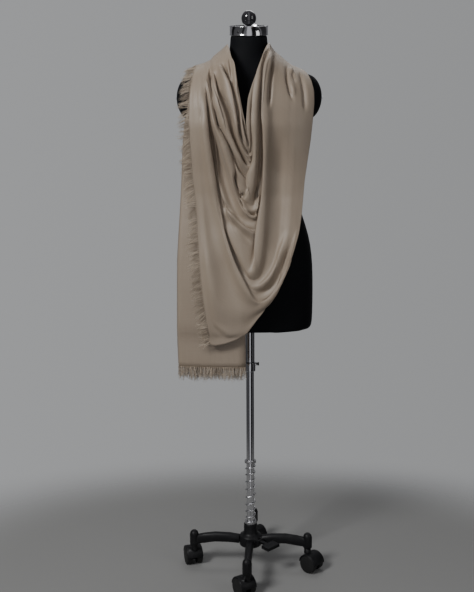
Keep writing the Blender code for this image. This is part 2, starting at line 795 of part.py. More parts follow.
def build_form(jersey, chrome, dark):
    torso = place(
        "torso", loft_mesh("torso", [torso_ring(row[0] * MM) for row in TORSO]), jersey)
    slant = helper(
        "neck_cut",
        box_mesh("neck_cut", (0.3, 0.3, 0.2), (0, 0, 0.1 - BAND_HEIGHT / 2 - GAP)),
        location=(0, 0, NECK_TOP), rotation=(NECK_TILT, 0, 0),
    )
    boolean(torso, slant)
    for side in (-1, 1):
        plane = helper(
            f"arm_cut_{side}", box_mesh("arm_cut", (0.05, 0.3, 0.3)),
            location=(side * (ARM_PLANE_X + 0.025), 0, ARM_CAP_Z),
        )
        boolean(torso, plane)
    socket_depth = UPPER_TUBE_Z[1] + GAP - TORSO_BOTTOM
    socket = helper(
        "pole_socket",
        cylinder_mesh("pole_socket", UPPER_TUBE_R + GAP, socket_depth + 0.02, sides=40),
        location=(0, 0, TORSO_BOTTOM + socket_depth / 2 - 0.01),
    )
    boolean(torso, socket)

    tilt = (NECK_TILT, 0, 0)
    half = BAND_HEIGHT / 2
    lip = 0.0022
    turned(
        "neck_band",
        [(0, half - PLATE_SINK), (BAND_RADIUS - 0.006, half - PLATE_SINK),
         (BAND_RADIUS - 0.005, half),
         (BAND_RADIUS - 0.001, half), (BAND_RADIUS, half - 0.001), (BAND_RADIUS, half - lip),
         (BAND_RADIUS - 0.0007, half - lip - 0.001), (BAND_RADIUS - 0.0007, -half + lip + 0.001),
         (BAND_RADIUS, -half + lip), (BAND_RADIUS, -half + 0.001), (BAND_RADIUS - 0.001, -half),
         (0, -half)],
        chrome, sides=32, closed=False, location=(0, 0, NECK_TOP), rotation=tilt,
    )
    plate_top = Vector((0, 0, NECK_TOP)) + Matrix.Rotation(NECK_TILT, 3, "X") @ Vector(
        (0, 0, half - PLATE_SINK + GAP))
    turned(
        "finial_stem",
        [(0, STEM_HEIGHT), (0.0050, STEM_HEIGHT), (0.0110, STEM_HEIGHT * 0.6), (0.0110, 0),
         (0, 0)],
        chrome, sides=24, closed=False, location=plate_top, rotation=tilt,
    )
    stem_top = plate_top + Matrix.Rotation(NECK_TILT, 3, "X") @ Vector((0, 0, STEM_HEIGHT + GAP))
    bm = bmesh.new()
    bmesh.ops.create_uvsphere(bm, u_segments=12, v_segments=9, radius=FINIAL_RADIUS)
    place("finial", mesh_of("finial", bm), dark, rotation=tilt,
          location=stem_top + Matrix.Rotation(NECK_TILT, 3, "X") @ Vector((0, 0, FINIAL_RADIUS)))
    build_arm_caps(jersey, chrome)

    front = Matrix.Rotation(NECK_TILT, 3, "X") @ Vector((-0.0275, -0.0421, -0.002))
    place("band_screw", cylinder_mesh("band_screw", 0.0024, 0.0016, sides=12, axis="Y"), dark,
          location=Vector((0, 0, NECK_TOP)) + front, rotation=(NECK_TILT, 0, -0.578))


def build_arm_caps(jersey, chrome):
    depth, half_depth, half_height = ARM_CAP
    for side, name in ((-1, "left"), (1, "right")):
        bm = bmesh.new()
        bmesh.ops.create_uvsphere(bm, u_segments=18, v_segments=12, radius=1.0)
        bmesh.ops.rotate(bm, matrix=Matrix.Rotation(math.pi / 2, 3, "Y"), verts=bm.verts)
        bmesh.ops.transform(
            bm, matrix=Matrix.Diagonal((depth, half_depth, half_height, 1.0)), verts=bm.verts
        )
        bmesh.ops.bisect_plane(
            bm, geom=bm.verts[:] + bm.edges[:] + bm.faces[:], dist=1e-6, plane_co=(0, 0, 0),
            plane_no=(side, 0, 0), clear_inner=True,
        )
        bmesh.ops.holes_fill(bm, edges=[e for e in bm.edges if e.is_boundary])
        place(f"arm_cap_{name}", mesh_of(f"arm_cap_{name}", bm), jersey,
              location=(side * (ARM_PLANE_X + GAP), 0, ARM_CAP_Z))
        screw_x = side * (ARM_PLANE_X + 2 * GAP + depth + 0.0008)
        place(f"arm_screw_{name}",
              cylinder_mesh(f"arm_screw_{name}", 0.0035, 0.0016, sides=16, axis="X"), chrome,
              location=(screw_x, 0, ARM_CAP_Z))


# ---------------------------------------------------------------- stand


def ring_profile(outer, inner, low, high, soft=0.0008):
    return [(inner, high), (outer - soft, high), (outer, high - soft), (outer, low + soft),
            (outer - soft, low), (inner, low)]


def build_pole(chrome, steel, black):
    turned("upper_tube", ring_profile(UPPER_TUBE_R, UPPER_TUBE_BORE, *UPPER_TUBE_Z), chrome)
    turned("form_flange",
           ring_profile(0.0170, UPPER_TUBE_R + GAP, TORSO_BOTTOM - 0.0125, TORSO_BOTTOM - GAP),
           chrome)
    turned("lower_tube", ring_profile(LOWER_TUBE_R, LOWER_TUBE_R - 0.0012, *LOWER_TUBE_Z), chrome)
    collar = turned(
        "collar", ring_profile(COLLAR_R, LOWER_TUBE_R + GAP, *COLLAR_Z, soft=0.0015), chrome)
    boss = helper(
        "collar_boss", cylinder_mesh("collar_boss", 0.0042, 0.0065, sides=20, axis="X"),
        location=(COLLAR_R + 0.0012, 0, SCREW_Z))
    boolean(collar, boss, "UNION")
    thread = helper(
        "collar_thread", cylinder_mesh("collar_thread", 0.0028, 0.02, sides=16, axis="X"),
        location=(COLLAR_R + 0.004, 0, SCREW_Z))
    boolean(collar, thread)
    head = cylinder_mesh(
        "clamp_screw", 0.0046, 0.0045, sides=12, axis="X", offset=(0.0075, 0, 0))
    knob = place("clamp_screw", head, black, location=(COLLAR_R, 0, SCREW_Z))
    shank = helper(
        "clamp_shank",
        cylinder_mesh("clamp_shank", 0.0025, 0.0100, sides=16, axis="X", offset=(0.0015, 0, 0)),
        location=(COLLAR_R, 0, SCREW_Z))
    boolean(knob, shank, "UNION")

    top = SPRING_Z[1] + GAP
    turned("spring_ring",
           ring_profile(0.0160, LOWER_TUBE_R + GAP, top, top + RING_HEIGHT), steel)
    low = SPRING_Z[0] - GAP
    turned("spring_seat",
           ring_profile(0.0165, LOWER_TUBE_R + GAP, low - RING_HEIGHT, low), steel)
    build_spring(steel)


def build_spring(look):
    curve = bpy.data.curves.new("spring", "CURVE")
    curve.dimensions = "3D"
    curve.bevel_depth = SPRING_WIRE
    curve.bevel_resolution = 2
    curve.use_fill_caps = True
    curve.materials.append(look)
    a_turn = 9
    count = int(SPRING_TURNS * a_turn)
    line = curve.splines.new("POLY")
    line.points.add(count)
    low = SPRING_Z[0] + SPRING_WIRE + GAP
    high = SPRING_Z[1] - SPRING_WIRE - GAP
    for k in range(count + 1):
        share = k / count
        # the end turns lie flatter than the ones between them
        rise = share + 0.028 * math.sin(2 * math.pi * share) * -1
        angle = 2 * math.pi * k / a_turn
        line.points[k].co = (
            SPRING_R * math.cos(angle), SPRING_R * math.sin(angle), low + (high - low) * rise, 1)
    made = bpy.data.objects.new("spring", curve)
    PARTS.objects.link(made)


def build_base(black):
    bore = LOWER_TUBE_R + GAP
    low, high = HUB_Z
    hub = turned(
        "hub",
        [(bore, high), (0.0170, high), (0.0185, high - 0.0015), (0.0190, 0.106),
         (0.0230, 0.0995), (0.0290, 0.0970), (0.0310, 0.0940), (0.0310, low + 0.002),
         (0.0290, low), (bore, low)],
        black, sides=28)
    direction = Vector((math.cos(PEDAL_AZIMUTH), math.sin(PEDAL_AZIMUTH), 0))
    for side in (-1, 1):
        across = Vector((-direction.y, direction.x, 0)) * side * 0.0085
        ear = helper(
            f"pedal_ear_{side}", box_mesh("pedal_ear", (0.016, 0.005, 0.014)),
            location=direction * 0.0340 + across + Vector((0, 0, 0.0880)),
            rotation=(0, 0, PEDAL_AZIMUTH))
        boolean(hub, ear, "UNION")
    for k in range(4):
        build_leg(k, black)
    build_pedal(black)


def leg_azimuth(k):
    return BASE_YAW + math.radians(-90 + 90 * k)


LEG_NAMES = ("front", "right", "back", "left")
# distance from the pole's axis, half width, height of the underside and of the top
LEG_SECTIONS = (
    (0.0312, 0.0110, 0.0735, 0.0940), (0.0600, 0.0104, 0.0755, 0.0985),
    (0.1000, 0.0098, 0.0755, 0.0995), (0.1300, 0.0094, 0.0705, 0.0955),
    (LEG_REACH - 0.006, 0.0092, 0.0670, 0.0905),
)
# radius and height of the round socket at a leg's end, from its domed top down
SOCKET_PROFILE = ((0, 0.1040), (0.0062, 0.1040), (0.0105, 0.1000), (0.0125, 0.0930),
                  (0.0125, 0.0650), (0.0118, 0.0630), (0, 0.0630))


def build_leg(k, black):
    """A tapered arm that ends in a round socket for the caster's stem."""
    azimuth = leg_azimuth(k)
    name = f"leg_{LEG_NAMES[k]}"
    rings = [
        [(r, -w * 0.8, low), (r, w * 0.8, low), (r, w, low + 0.004), (r, w, high - 0.006),
         (r, w * 0.6, high), (r, -w * 0.6, high), (r, -w, high - 0.006), (r, -w, low + 0.004)]
        for r, w, low, high in LEG_SECTIONS
    ]
    leg = place(name, loft_mesh(name, rings), black, rotation=(0, 0, azimuth))
    end = Vector((math.cos(azimuth), math.sin(azimuth), 0)) * LEG_REACH
    socket = hidden(turned(
        f"{name}_socket", SOCKET_PROFILE, None, sides=20, closed=False, location=end,
        where=HELPERS))
    boolean(leg, socket, "UNION")
    bore = helper(
        f"{name}_bore", cylinder_mesh(f"{name}_bore", 0.0055, 0.0500, sides=14),
        location=end + Vector((0, 0, 0.0680)))
    boolean(leg, bore)


def build_pedal(black):
    """A lever that hinges between the hub's ears, with a paddle for the foot."""
    turn = (0, 0, PEDAL_AZIMUTH)
    pivot = Vector((math.cos(PEDAL_AZIMUTH), math.sin(PEDAL_AZIMUTH), 0)) * 0.0375
    pivot += Vector((0, 0, 0.0885))
    knuckle = cylinder_mesh("pedal", 0.0052, 0.0112, sides=20, axis="Y")
    pedal = place("pedal", knuckle, black, location=pivot, rotation=turn)
    arm = helper("pedal_arm", box_mesh("pedal_arm", (0.0320, 0.0090, 0.0060), (0.0160, 0, 0)),
                 location=pivot, rotation=turn)
    paddle = helper(
        "pedal_paddle", box_mesh("pedal_paddle", (0.0260, 0.0440, 0.0085), (0.0410, 0, 0.0008)),
        location=pivot, rotation=turn)
    boolean(pedal, arm, "UNION")
    boolean(pedal, paddle, "UNION")


def build_casters(black, grey):
    axle_z = WHEEL_RADIUS * math.cos(math.pi / WHEEL_SIDES)
    for k, swivel in enumerate(CASTER_SWIVELS):
        azimuth = leg_azimuth(k)
        stem = (LEG_REACH * math.cos(azimuth), LEG_REACH * math.sin(azimuth), 0)
        pivot = empty(f"swivel_{LEG_NAMES[k]}", stem, (0, 0, math.radians(swivel)))
        build_caster(LEG_NAMES[k], pivot, axle_z, black, grey)


def build_caster(where, pivot, axle_z, black, grey):
    """A hooded housing that trails behind its stem, and a pair of wheels on one axle."""
    trail = (CASTER_TRAIL, 0, axle_z)
    width = 2 * WHEEL_WIDTH + WHEEL_GAP
    hood_r = WHEEL_RADIUS + 0.0045
    hood = cylinder_mesh(
        f"caster_{where}", hood_r, width, sides=22, axis="Y", rim=HOOD_SOFTENING)
    housing = place(f"caster_{where}", hood, black, location=trail, parent=pivot)
    lower = helper(
        f"hood_cut_{where}", box_mesh("hood_cut", (0.08, 0.08, 0.06), (0, 0, -0.027)),
        location=trail, parent=pivot)
    boolean(housing, lower)
    web = helper(
        f"web_{where}", cylinder_mesh("web", 0.0130, WHEEL_GAP - 0.0020, sides=16, axis="Y"),
        location=trail, parent=pivot)
    for side in (-1, 1):
        room = helper(
            f"wheel_room_{where}_{side}",
            cylinder_mesh("wheel_room", WHEEL_RADIUS + 0.0012, WHEEL_WIDTH + 0.0020 + 0.004,
                          sides=22, axis="Y"),
            location=(trail[0], side * ((WHEEL_GAP + WHEEL_WIDTH) / 2 + 0.002), trail[2]),
            parent=pivot)
        boolean(housing, room)
    boolean(housing, web, "UNION")
    stem = helper(
        f"stem_{where}", cylinder_mesh("stem", 0.0050, 0.0450, sides=14),
        location=(0, 0, 0.0640), parent=pivot)
    shoulder = helper(
        f"shoulder_{where}", cylinder_mesh("shoulder", 0.0095, 0.0160, sides=16),
        location=(0, 0, 0.0627 - 0.0083), parent=pivot)
    boolean(housing, shoulder, "UNION")
    boolean(housing, stem, "UNION")
    hole = helper(
        f"axle_hole_{where}", cylinder_mesh("axle_hole", 0.0036, 0.03, sides=12, axis="Y"),
        location=trail, parent=pivot)
    boolean(housing, hole)

    wheels = place(
        f"wheels_{where}", cylinder_mesh(f"wheels_{where}", 0.0030, 0.0300, sides=12, axis="Y"),
        grey, location=trail, parent=pivot)
    for side in (-1, 1):
        # turned by half a side, so that a flat of the rim points down
        disc = helper(
            f"wheel_{where}_{side}",
            cylinder_mesh("wheel", WHEEL_RADIUS, WHEEL_WIDTH, sides=WHEEL_SIDES, axis="Y",
                          rim=RIM_SOFTENING),
            location=(trail[0], side * (WHEEL_GAP + WHEEL_WIDTH) / 2, trail[2]),
            rotation=(0, math.pi / WHEEL_SIDES, 0), parent=pivot)
        boolean(wheels, disc, "UNION")


# ---------------------------------------------------------------- build

clear_scene()
PARTS = collection("pashmina_shawl_on_dress_form")
HELPERS = collection("cutters_and_joiners")

SHAWL = material("shawl", (0.33, 0.28, 0.23), 0.85)
FRINGE = material("fringe", (0.31, 0.26, 0.21), 0.9)
JERSEY = material("jersey", (0.012, 0.012, 0.014), 0.8)
CHROME = material("chrome", (0.75, 0.75, 0.77), 0.12, 1.0)
STEEL = material("spring_steel", (0.62, 0.62, 0.63), 0.25, 1.0)
DARK = material("dark_glass", (0.05, 0.05, 0.055), 0.05)
BLACK = material("black_plastic", (0.02, 0.02, 0.022), 0.45)
GREY = material("caster_rubber", (0.035, 0.035, 0.035), 0.6)

build_form(JERSEY, CHROME, DARK)
build_shawl(SHAWL, FRINGE)
build_pole(CHROME, STEEL, BLACK)
build_base(BLACK)
build_casters(BLACK, GREY)
bpy.context.view_layer.update()
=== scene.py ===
import json
import math
import random

import bpy
import numpy as np
from mathutils import Matrix, Vector


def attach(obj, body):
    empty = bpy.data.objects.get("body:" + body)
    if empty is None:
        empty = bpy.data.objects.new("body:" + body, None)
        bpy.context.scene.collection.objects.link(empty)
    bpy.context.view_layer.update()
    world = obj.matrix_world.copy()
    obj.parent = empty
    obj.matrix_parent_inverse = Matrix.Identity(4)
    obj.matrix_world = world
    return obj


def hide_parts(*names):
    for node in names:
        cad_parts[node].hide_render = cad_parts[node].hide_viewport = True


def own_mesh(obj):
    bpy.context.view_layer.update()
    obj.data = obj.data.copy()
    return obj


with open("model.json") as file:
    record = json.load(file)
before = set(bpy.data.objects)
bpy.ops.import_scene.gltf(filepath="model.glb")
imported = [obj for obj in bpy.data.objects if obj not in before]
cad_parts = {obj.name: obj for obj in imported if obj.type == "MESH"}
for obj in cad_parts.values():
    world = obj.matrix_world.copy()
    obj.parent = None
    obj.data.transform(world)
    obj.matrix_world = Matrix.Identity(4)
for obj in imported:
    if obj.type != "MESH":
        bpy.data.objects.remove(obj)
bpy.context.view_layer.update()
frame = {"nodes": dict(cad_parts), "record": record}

mm = 0.001

view = {
    "place": (0.0, -2.0, 1.058),
    "lens": 45.6,
    "sensor": 36,
    "nearest": 0.05,
    "downDegrees": 8.05,
    "turnDegrees": 0.985,
    "rollDegrees": -0.336,
}
studio = {
    "floorColour": (0.295, 0.295, 0.288),
    "floorRadius": 1.5,
    "floorNarrow": 0.65,
    "floorClear": 0.42,
    "floorEnd": 0.95,
    # how much darker the backdrop is painted towards the right: painted light falling from the
    # left
    "backdrop": 0.332,
    "backdropPaintedFalloff": 0.24,
    "backdropTint": (0.985, 1.0, 1.02),
    "room": 0.34,
    "roomTint": (1.0, 1.0, 1.05),
    "ceilingFrom": 0.2,
    "ceilingUntil": 0.9,
    "ceilingBright": 0.25,
}
# name, place, height of the point that it is aimed at, watts, two sides
studioLights = (
    ("keyLight", (-1.8, -2.1, 2.8), 1.15, 75, 0.9, 1.0),
    ("fillLight", (2.2, -1.6, 1.6), 1.0, 8, 0.9, 1.8),
    ("topLight", (0.2, 0.9, 2.6), 1.3, 6, 1.2, 0.8),
)
# how bright the room is around the object: degrees from the front towards the right, brightness
roomStripes = (
    (-180, 0.55), (-128, 0.42), (-122, 0.02), (-104, 0.02), (-100, 0.20), (-44, 0.24), (-41, 0.01),
    (-32, 0.01), (-30, 0.36), (-13, 0.40), (-11, 1.60), (16, 1.60), (19, 0.01), (47, 0.01),
    (49, 0.09), (74, 0.09), (76, 0.55), (80, 0.55), (82, 0.08), (125, 0.08), (140, 0.42),
    (180, 0.55),
)


def aimedLight(name, place, aimHeight, watts, size, sizeY):
    bpy.ops.object.light_add(type="AREA", location=place)
    lamp = bpy.context.object
    lamp.name = name
    lamp.data.shape = "RECTANGLE"
    lamp.data.size = size
    lamp.data.size_y = sizeY
    lamp.data.energy = watts
    aim = Vector((0, 0, aimHeight)) - Vector(place)
    lamp.rotation_euler = aim.to_track_quat("-Z", "Y").to_euler()


def buildStudio():
    bpy.ops.object.select_all(action="DESELECT")
    bpy.ops.object.camera_add(location=view["place"])
    camera = bpy.context.object
    camera.data.lens = view["lens"]
    camera.data.sensor_width = view["sensor"]
    camera.data.clip_start = view["nearest"]
    turn = Matrix.Rotation(math.radians(view["turnDegrees"]), 4, "Z")
    tip = Matrix.Rotation(math.radians(90 - view["downDegrees"]), 4, "X")
    roll = Matrix.Rotation(math.radians(view["rollDegrees"]), 4, "Z")
    camera.matrix_world = Matrix.Translation(view["place"]) @ turn @ tip @ roll
    bpy.context.scene.camera = camera

    buildRoom()
    for light in studioLights:
        aimedLight(*light)

    bpy.ops.mesh.primitive_circle_add(
        vertices=96, radius=studio["floorRadius"], fill_type="NGON", location=(0, 0, 0))
    floor = bpy.context.object
    floor.name = "studioFloor"
    return floor


def buildRoom():
    # a backdrop painted lighter on the left and darker on the right as painted light, and for
    # light and reflections a room with bright and dark stretches
    world = bpy.data.worlds.new("softRoom")
    bpy.context.scene.world = world
    world.use_nodes = True
    work = NodeWork(world.node_tree)
    way = work.node("ShaderNodeTexCoord")
    side, back, up = (work.part(way, index) for index in range(3))
    turn = work.node("ShaderNodeMath", {"operation": "ARCTAN2"}, {0: side, 1: back * -1})
    stops = tuple((angle / 360 + 0.5, (bright,) * 3) for angle, bright in roomStripes)
    around = work.node(
        "ShaderNodeValToRGB", {"stops": stops}, {"Fac": turn / (2 * math.pi) + 0.5})
    ceiling = work.node(
        "ShaderNodeMapRange", {"interpolation_type": "SMOOTHSTEP"},
        {"Value": up, "From Min": studio["ceilingFrom"], "From Max": studio["ceilingUntil"],
         "To Min": 0.0, "To Max": studio["ceilingBright"]})
    tone = work.tinted(work.part(around, 0) + ceiling, studio["roomTint"])
    room = work.node("ShaderNodeBackground", {}, {"Color": tone, "Strength": studio["room"]})
    # painted light: the backdrop is lighter on the left and darker on the right
    wall = (1 - side * studio["backdropPaintedFalloff"]) * studio["backdrop"]
    wallTone = work.tinted(wall, studio["backdropTint"])
    paintedBackdrop = work.node("ShaderNodeBackground", {}, {"Color": wallTone, "Strength": 1.0})
    seen = work.node("ShaderNodeLightPath")
    both = work.node("ShaderNodeMixShader", {}, {0: seen, 1: room, 2: paintedBackdrop})
    work.put(world.node_tree.nodes["World Output"].inputs["Surface"], both)


class Mask:
    # one socket, usable in arithmetic
    def __init__(self, paint, socket):
        self.paint = paint
        self.socket = socket

    def work(self, operation, first, second):
        return self.paint.node("ShaderNodeMath", {"operation": operation}, {0: first, 1: second})

    def __add__(self, other):
        return self.work("ADD", self, other)

    def __radd__(self, other):
        return self.work("ADD", other, self)

    def __sub__(self, other):
        return self.work("SUBTRACT", self, other)

    def __rsub__(self, other):
        return self.work("SUBTRACT", other, self)

    def __mul__(self, other):
        return self.work("MULTIPLY", self, other)

    def __truediv__(self, other):
        return self.work("DIVIDE", self, other)

    def __pow__(self, other):
        return self.work("POWER", self, other)


class NodeWork:
    def __init__(self, tree):
        self.tree = tree

    def node(self, kind, settings=None, sockets=None, output=0):
        made = self.tree.nodes.new(kind)
        for name, value in (settings or {}).items():
            if name == "stops":
                ramp = made.color_ramp
                while len(ramp.elements) < len(value):
                    ramp.elements.new(0.5)
                for element, (place, colour) in zip(ramp.elements, value):
                    element.position = place
                    element.color = (*colour, 1)
            else:
                setattr(made, name, value)
        for name, value in (sockets or {}).items():
            self.put(made.inputs[name], value)
        return Mask(self, made.outputs[output])

    def put(self, socket, value):
        if isinstance(value, Mask):
            self.tree.links.new(value.socket, socket)
        else:
            socket.default_value = value

    def part(self, vector, index):
        return self.node("ShaderNodeSeparateXYZ", {}, {"Vector": vector}, output=index)

    def tinted(self, level, tint):
        return self.node(
            "ShaderNodeCombineColor", {}, {i: level * share for i, share in enumerate(tint)})


class Paint(NodeWork):
    def __init__(self, name, **uniform):
        self.material = bpy.data.materials.new(name)
        self.material.use_nodes = True
        super().__init__(self.material.node_tree)
        self.shader = self.tree.nodes["Principled BSDF"]
        for socket, value in uniform.items():
            words = "".join(" " + c if c.isupper() else c for c in socket).split()
            label = " ".join(word.capitalize() for word in words).replace("Ior", "IOR")
            self.shader.inputs[label].default_value = value

    def feed(self, socket, value):
        self.put(self.shader.inputs[socket], value)

    def sine(self, value):
        return self.node("ShaderNodeMath", {"operation": "SINE"}, {0: value})

    def mix(self, factor, first, second):
        return self.node(
            "ShaderNodeMix", {"data_type": "RGBA"},
            {"Factor": factor, 6: (*first, 1) if isinstance(first, tuple) else first,
             7: (*second, 1) if isinstance(second, tuple) else second}, output=2)

    def noise(self, where, scale, detail=3.0, roughness=0.5):
        return self.node(
            "ShaderNodeTexNoise", {},
            {"Vector": where, "Scale": scale, "Detail": detail, "Roughness": roughness})

    def stretched(self, where, scale):
        return self.node("ShaderNodeMapping", {}, {"Vector": where, "Scale": scale})

    def bump(self, height, strength, distance, normal=None):
        sockets = {"Height": height, "Strength": strength, "Distance": distance}
        if normal is not None:
            sockets["Normal"] = normal
        return self.node("ShaderNodeBump", {}, sockets)

    def objectPlace(self):
        return self.node("ShaderNodeTexCoord", output=3)

    def clothPlace(self):
        return self.node("ShaderNodeUVMap", {"uv_map": "weave"})


weave = {
    "colour": (0.345, 0.279, 0.211),
    "warm": (0.322, 0.247, 0.178),
    "pale": (0.400, 0.332, 0.262),
    "threadPitch": 0.85 * mm,
    "twillThreads": 2.6,
    "slubsAMetre": (900, 14),
    "roughness": 0.44,
    "sheen": 0.35,
    "sheenRoughness": 0.38,
    "sheenTint": (0.95, 0.88, 0.80, 1),
    "specular": 0.62,
}


def weavePaint():
    paint = Paint("shawlWeave", sheenWeight=weave["sheen"], sheenRoughness=weave["sheenRoughness"],
                  sheenTint=weave["sheenTint"], specularIorLevel=weave["specular"])
    place = paint.clothPlace()
    across, along = paint.part(place, 0), paint.part(place, 1)
    often, seldom = weave["slubsAMetre"]
    slubU = paint.noise(paint.stretched(place, (often, seldom, 1)), 1.0, 2.0)
    slubV = paint.noise(paint.stretched(place, (seldom, often, 1)), 1.0, 2.0)
    cloud = paint.noise(place, 9.0, 4.0, 0.55)
    blotch = paint.noise(place, 2.2, 2.0)
    turns = 2 * math.pi / weave["threadPitch"]
    weft = paint.sine(along * turns + paint.sine(across * turns) * 0.8)
    warp = paint.sine(across * turns)
    twill = paint.sine((across + along) * (turns / weave["twillThreads"]))
    streak = slubU * 0.5 + slubV * 0.5
    shade = paint.mix(blotch * 1.1, weave["warm"], weave["colour"])
    shade = paint.mix((cloud * 1.5) ** 2 * 0.42, shade, weave["pale"])
    tone = 0.80 + streak * 0.30 + twill * 0.018 + weft * 0.012
    grey = paint.tinted(tone, (1.0, 1.0, 1.0))
    shade = paint.node(
        "ShaderNodeMix", {"data_type": "RGBA", "blend_type": "MULTIPLY"},
        {"Factor": 1.0, 6: shade, 7: grey}, output=2)
    paint.feed("Base Color", shade)
    paint.feed("Roughness", weave["roughness"] + streak * 0.12 - cloud * 0.08)
    threads = paint.bump(weft * 0.5 + warp * 0.3 + twill * 0.4, 0.28, 0.2 * mm)
    paint.feed("Normal", paint.bump(cloud + streak * 0.35, 0.22, 4 * mm, threads))
    return paint.material


yarnFinish = {
    "dark": (0.20, 0.15, 0.105),
    "light": (0.74, 0.63, 0.50),
    "middle": (0.42, 0.34, 0.26),
    "middleShare": 0.2,
    "roughness": 0.6,
    "sheen": 0.35,
    "specular": 0.3,
}
jerseyFinish = {
    "dark": (0.0025, 0.0027, 0.0036),
    "light": (0.0065, 0.007, 0.0088),
    "roughness": 0.62,
    "sheen": 0.03,
    "specular": 0.12,
}
chromeFinish = {"colour": (0.72, 0.72, 0.74), "roughness": 0.07, "wear": 0.35, "brushed": 0.0}
steelFinish = {"colour": (0.60, 0.60, 0.61), "roughness": 0.22, "wear": 0.5, "brushed": 0.10}
glassFinish = {
    "dark": (0.012, 0.012, 0.014), "light": (0.03, 0.03, 0.034), "roughness": 0.06,
    "specular": 0.7,
}
plasticFinish = {
    "dark": (0.008, 0.008, 0.009), "light": (0.05, 0.05, 0.05), "roughness": 0.34,
    "specular": 0.25,
}
rubberFinish = {
    "dark": (0.018, 0.018, 0.018), "light": (0.07, 0.07, 0.07), "roughness": 0.55,
    "specular": 0.25,
}


def fringePaint():
    paint = Paint("fringeYarn", sheenWeight=yarnFinish["sheen"], sheenRoughness=0.4,
                  sheenTint=weave["sheenTint"], specularIorLevel=yarnFinish["specular"])
    place = paint.objectPlace()
    yarns = paint.noise(place, 420.0, 2.0)
    # each yarn's random tone, with painted shade at its root under the cloth's edge, lighter
    # towards its tip
    toneAndRootShade = paint.node("ShaderNodeAttribute", {"attribute_name": "yarnTone"}, output=2)
    shade = paint.mix(toneAndRootShade, yarnFinish["dark"], yarnFinish["light"])
    shade = paint.mix(yarns * yarnFinish["middleShare"], shade, yarnFinish["middle"])
    paint.feed("Base Color", shade)
    paint.feed("Roughness", yarnFinish["roughness"] + yarns * 0.25)
    paint.feed("Normal", paint.bump(yarns, 0.4, 0.4 * mm))
    return paint.material


def jerseyPaint():
    paint = Paint("blackJersey", sheenWeight=jerseyFinish["sheen"], sheenRoughness=0.35,
                  specularIorLevel=jerseyFinish["specular"])
    place = paint.objectPlace()
    knit = paint.node(
        "ShaderNodeTexWave", {"wave_type": "BANDS", "bands_direction": "X"},
        {"Vector": place, "Scale": 210.0, "Distortion": 1.4, "Detail Scale": 300.0})
    rows = paint.node(
        "ShaderNodeTexWave", {"wave_type": "BANDS", "bands_direction": "Z"},
        {"Vector": place, "Scale": 260.0})
    lint = paint.noise(place, 22.0, 5.0, 0.6)
    paint.feed("Base Color", paint.mix(lint, jerseyFinish["dark"], jerseyFinish["light"]))
    paint.feed("Roughness", jerseyFinish["roughness"] + lint * 0.2)
    soft = paint.bump(lint, 0.12, 3 * mm)
    paint.feed("Normal", paint.bump(knit * rows, 0.25, 0.3 * mm, soft))
    return paint.material


def metalPaint(name, finish):
    paint = Paint(name, metallic=1.0)
    place = paint.objectPlace()
    smudge = paint.noise(place, 26.0, 5.0, 0.6)
    grime = paint.noise(place, 90.0, 3.0)
    drawn = paint.noise(paint.stretched(place, (60, 60, 1500)), 1.0, 2.0) * finish["brushed"]
    dull = tuple(share * 0.72 for share in finish["colour"])
    worn = smudge * finish["wear"]
    paint.feed("Base Color", paint.mix(worn, finish["colour"], dull))
    paint.feed("Roughness", finish["roughness"] + worn * 0.3 + drawn)
    paint.feed("Normal", paint.bump(grime + drawn * 3, 0.05, 0.6 * mm))
    return paint.material


def glassPaint():
    paint = Paint("darkGlass", coatWeight=1.0, coatRoughness=0.03,
                  specularIorLevel=glassFinish["specular"])
    smudge = paint.noise(paint.objectPlace(), 60.0, 4.0, 0.6)
    paint.feed("Base Color", paint.mix(smudge, glassFinish["dark"], glassFinish["light"]))
    paint.feed("Roughness", glassFinish["roughness"] + smudge * 0.08)
    paint.feed("Normal", paint.bump(smudge, 0.02, 0.5 * mm))
    return paint.material


def plasticPaint(name, finish):
    paint = Paint(name, specularIorLevel=finish["specular"])
    place = paint.objectPlace()
    moulded = paint.noise(place, 900.0, 2.0)
    scuff = paint.noise(place, 34.0, 6.0, 0.65)
    dust = paint.node("ShaderNodeValToRGB", {"stops": ((0.52, (0, 0, 0)), (0.78, (1, 1, 1)))},
                      {"Fac": scuff})
    paint.feed("Base Color", paint.mix(dust * 0.3, finish["dark"], finish["light"]))
    paint.feed("Roughness", finish["roughness"] + scuff * 0.2)
    paint.feed("Normal", paint.bump(moulded, 0.10, 0.3 * mm))
    return paint.material


def floorPaint():
    paint = Paint("paleFloor", roughness=0.85, specularIorLevel=0.2)
    place = paint.objectPlace()
    cloud = paint.noise(place, 1.3, 3.0)
    pale = studio["floorColour"]
    paint.feed("Base Color", paint.mix(cloud, tuple(c * 0.96 for c in pale), pale))
    narrowed = paint.stretched(place, (studio["floorNarrow"], 1, 1))
    away = paint.node("ShaderNodeVectorMath", {"operation": "LENGTH"}, {0: narrowed}, output=1)
    shown = paint.node(
        "ShaderNodeMapRange", {"interpolation_type": "SMOOTHERSTEP"},
        {"Value": away, "From Min": studio["floorClear"], "From Max": studio["floorEnd"],
         "To Min": 1.0, "To Max": 0.0})
    paint.feed("Alpha", shown)
    return paint.material


# the drape: where the cloth lies, in millimetres and in the same tables as the solids
torsoColumns = ("z", "halfWidth", "front", "back")
torsoTable = (
    (690, 158, 95, 99), (694, 165, 100, 105), (706, 169, 103, 108), (760, 170, 105, 112),
    (830, 170, 105, 113), (890, 167, 103, 110), (940, 158, 99, 104), (990, 141, 93, 96),
    (1045, 123, 88, 89), (1100, 124, 92, 90), (1160, 136, 103, 95), (1215, 146, 110, 98),
    (1265, 150, 106, 97), (1305, 150, 92, 92), (1330, 147, 78, 84), (1345, 138, 69, 78),
    (1354, 123, 63, 73), (1366, 97, 57, 66), (1380, 76, 53, 60), (1396, 58, 49, 54),
    (1412, 49, 47, 50), (1500, 47, 47, 48),
)
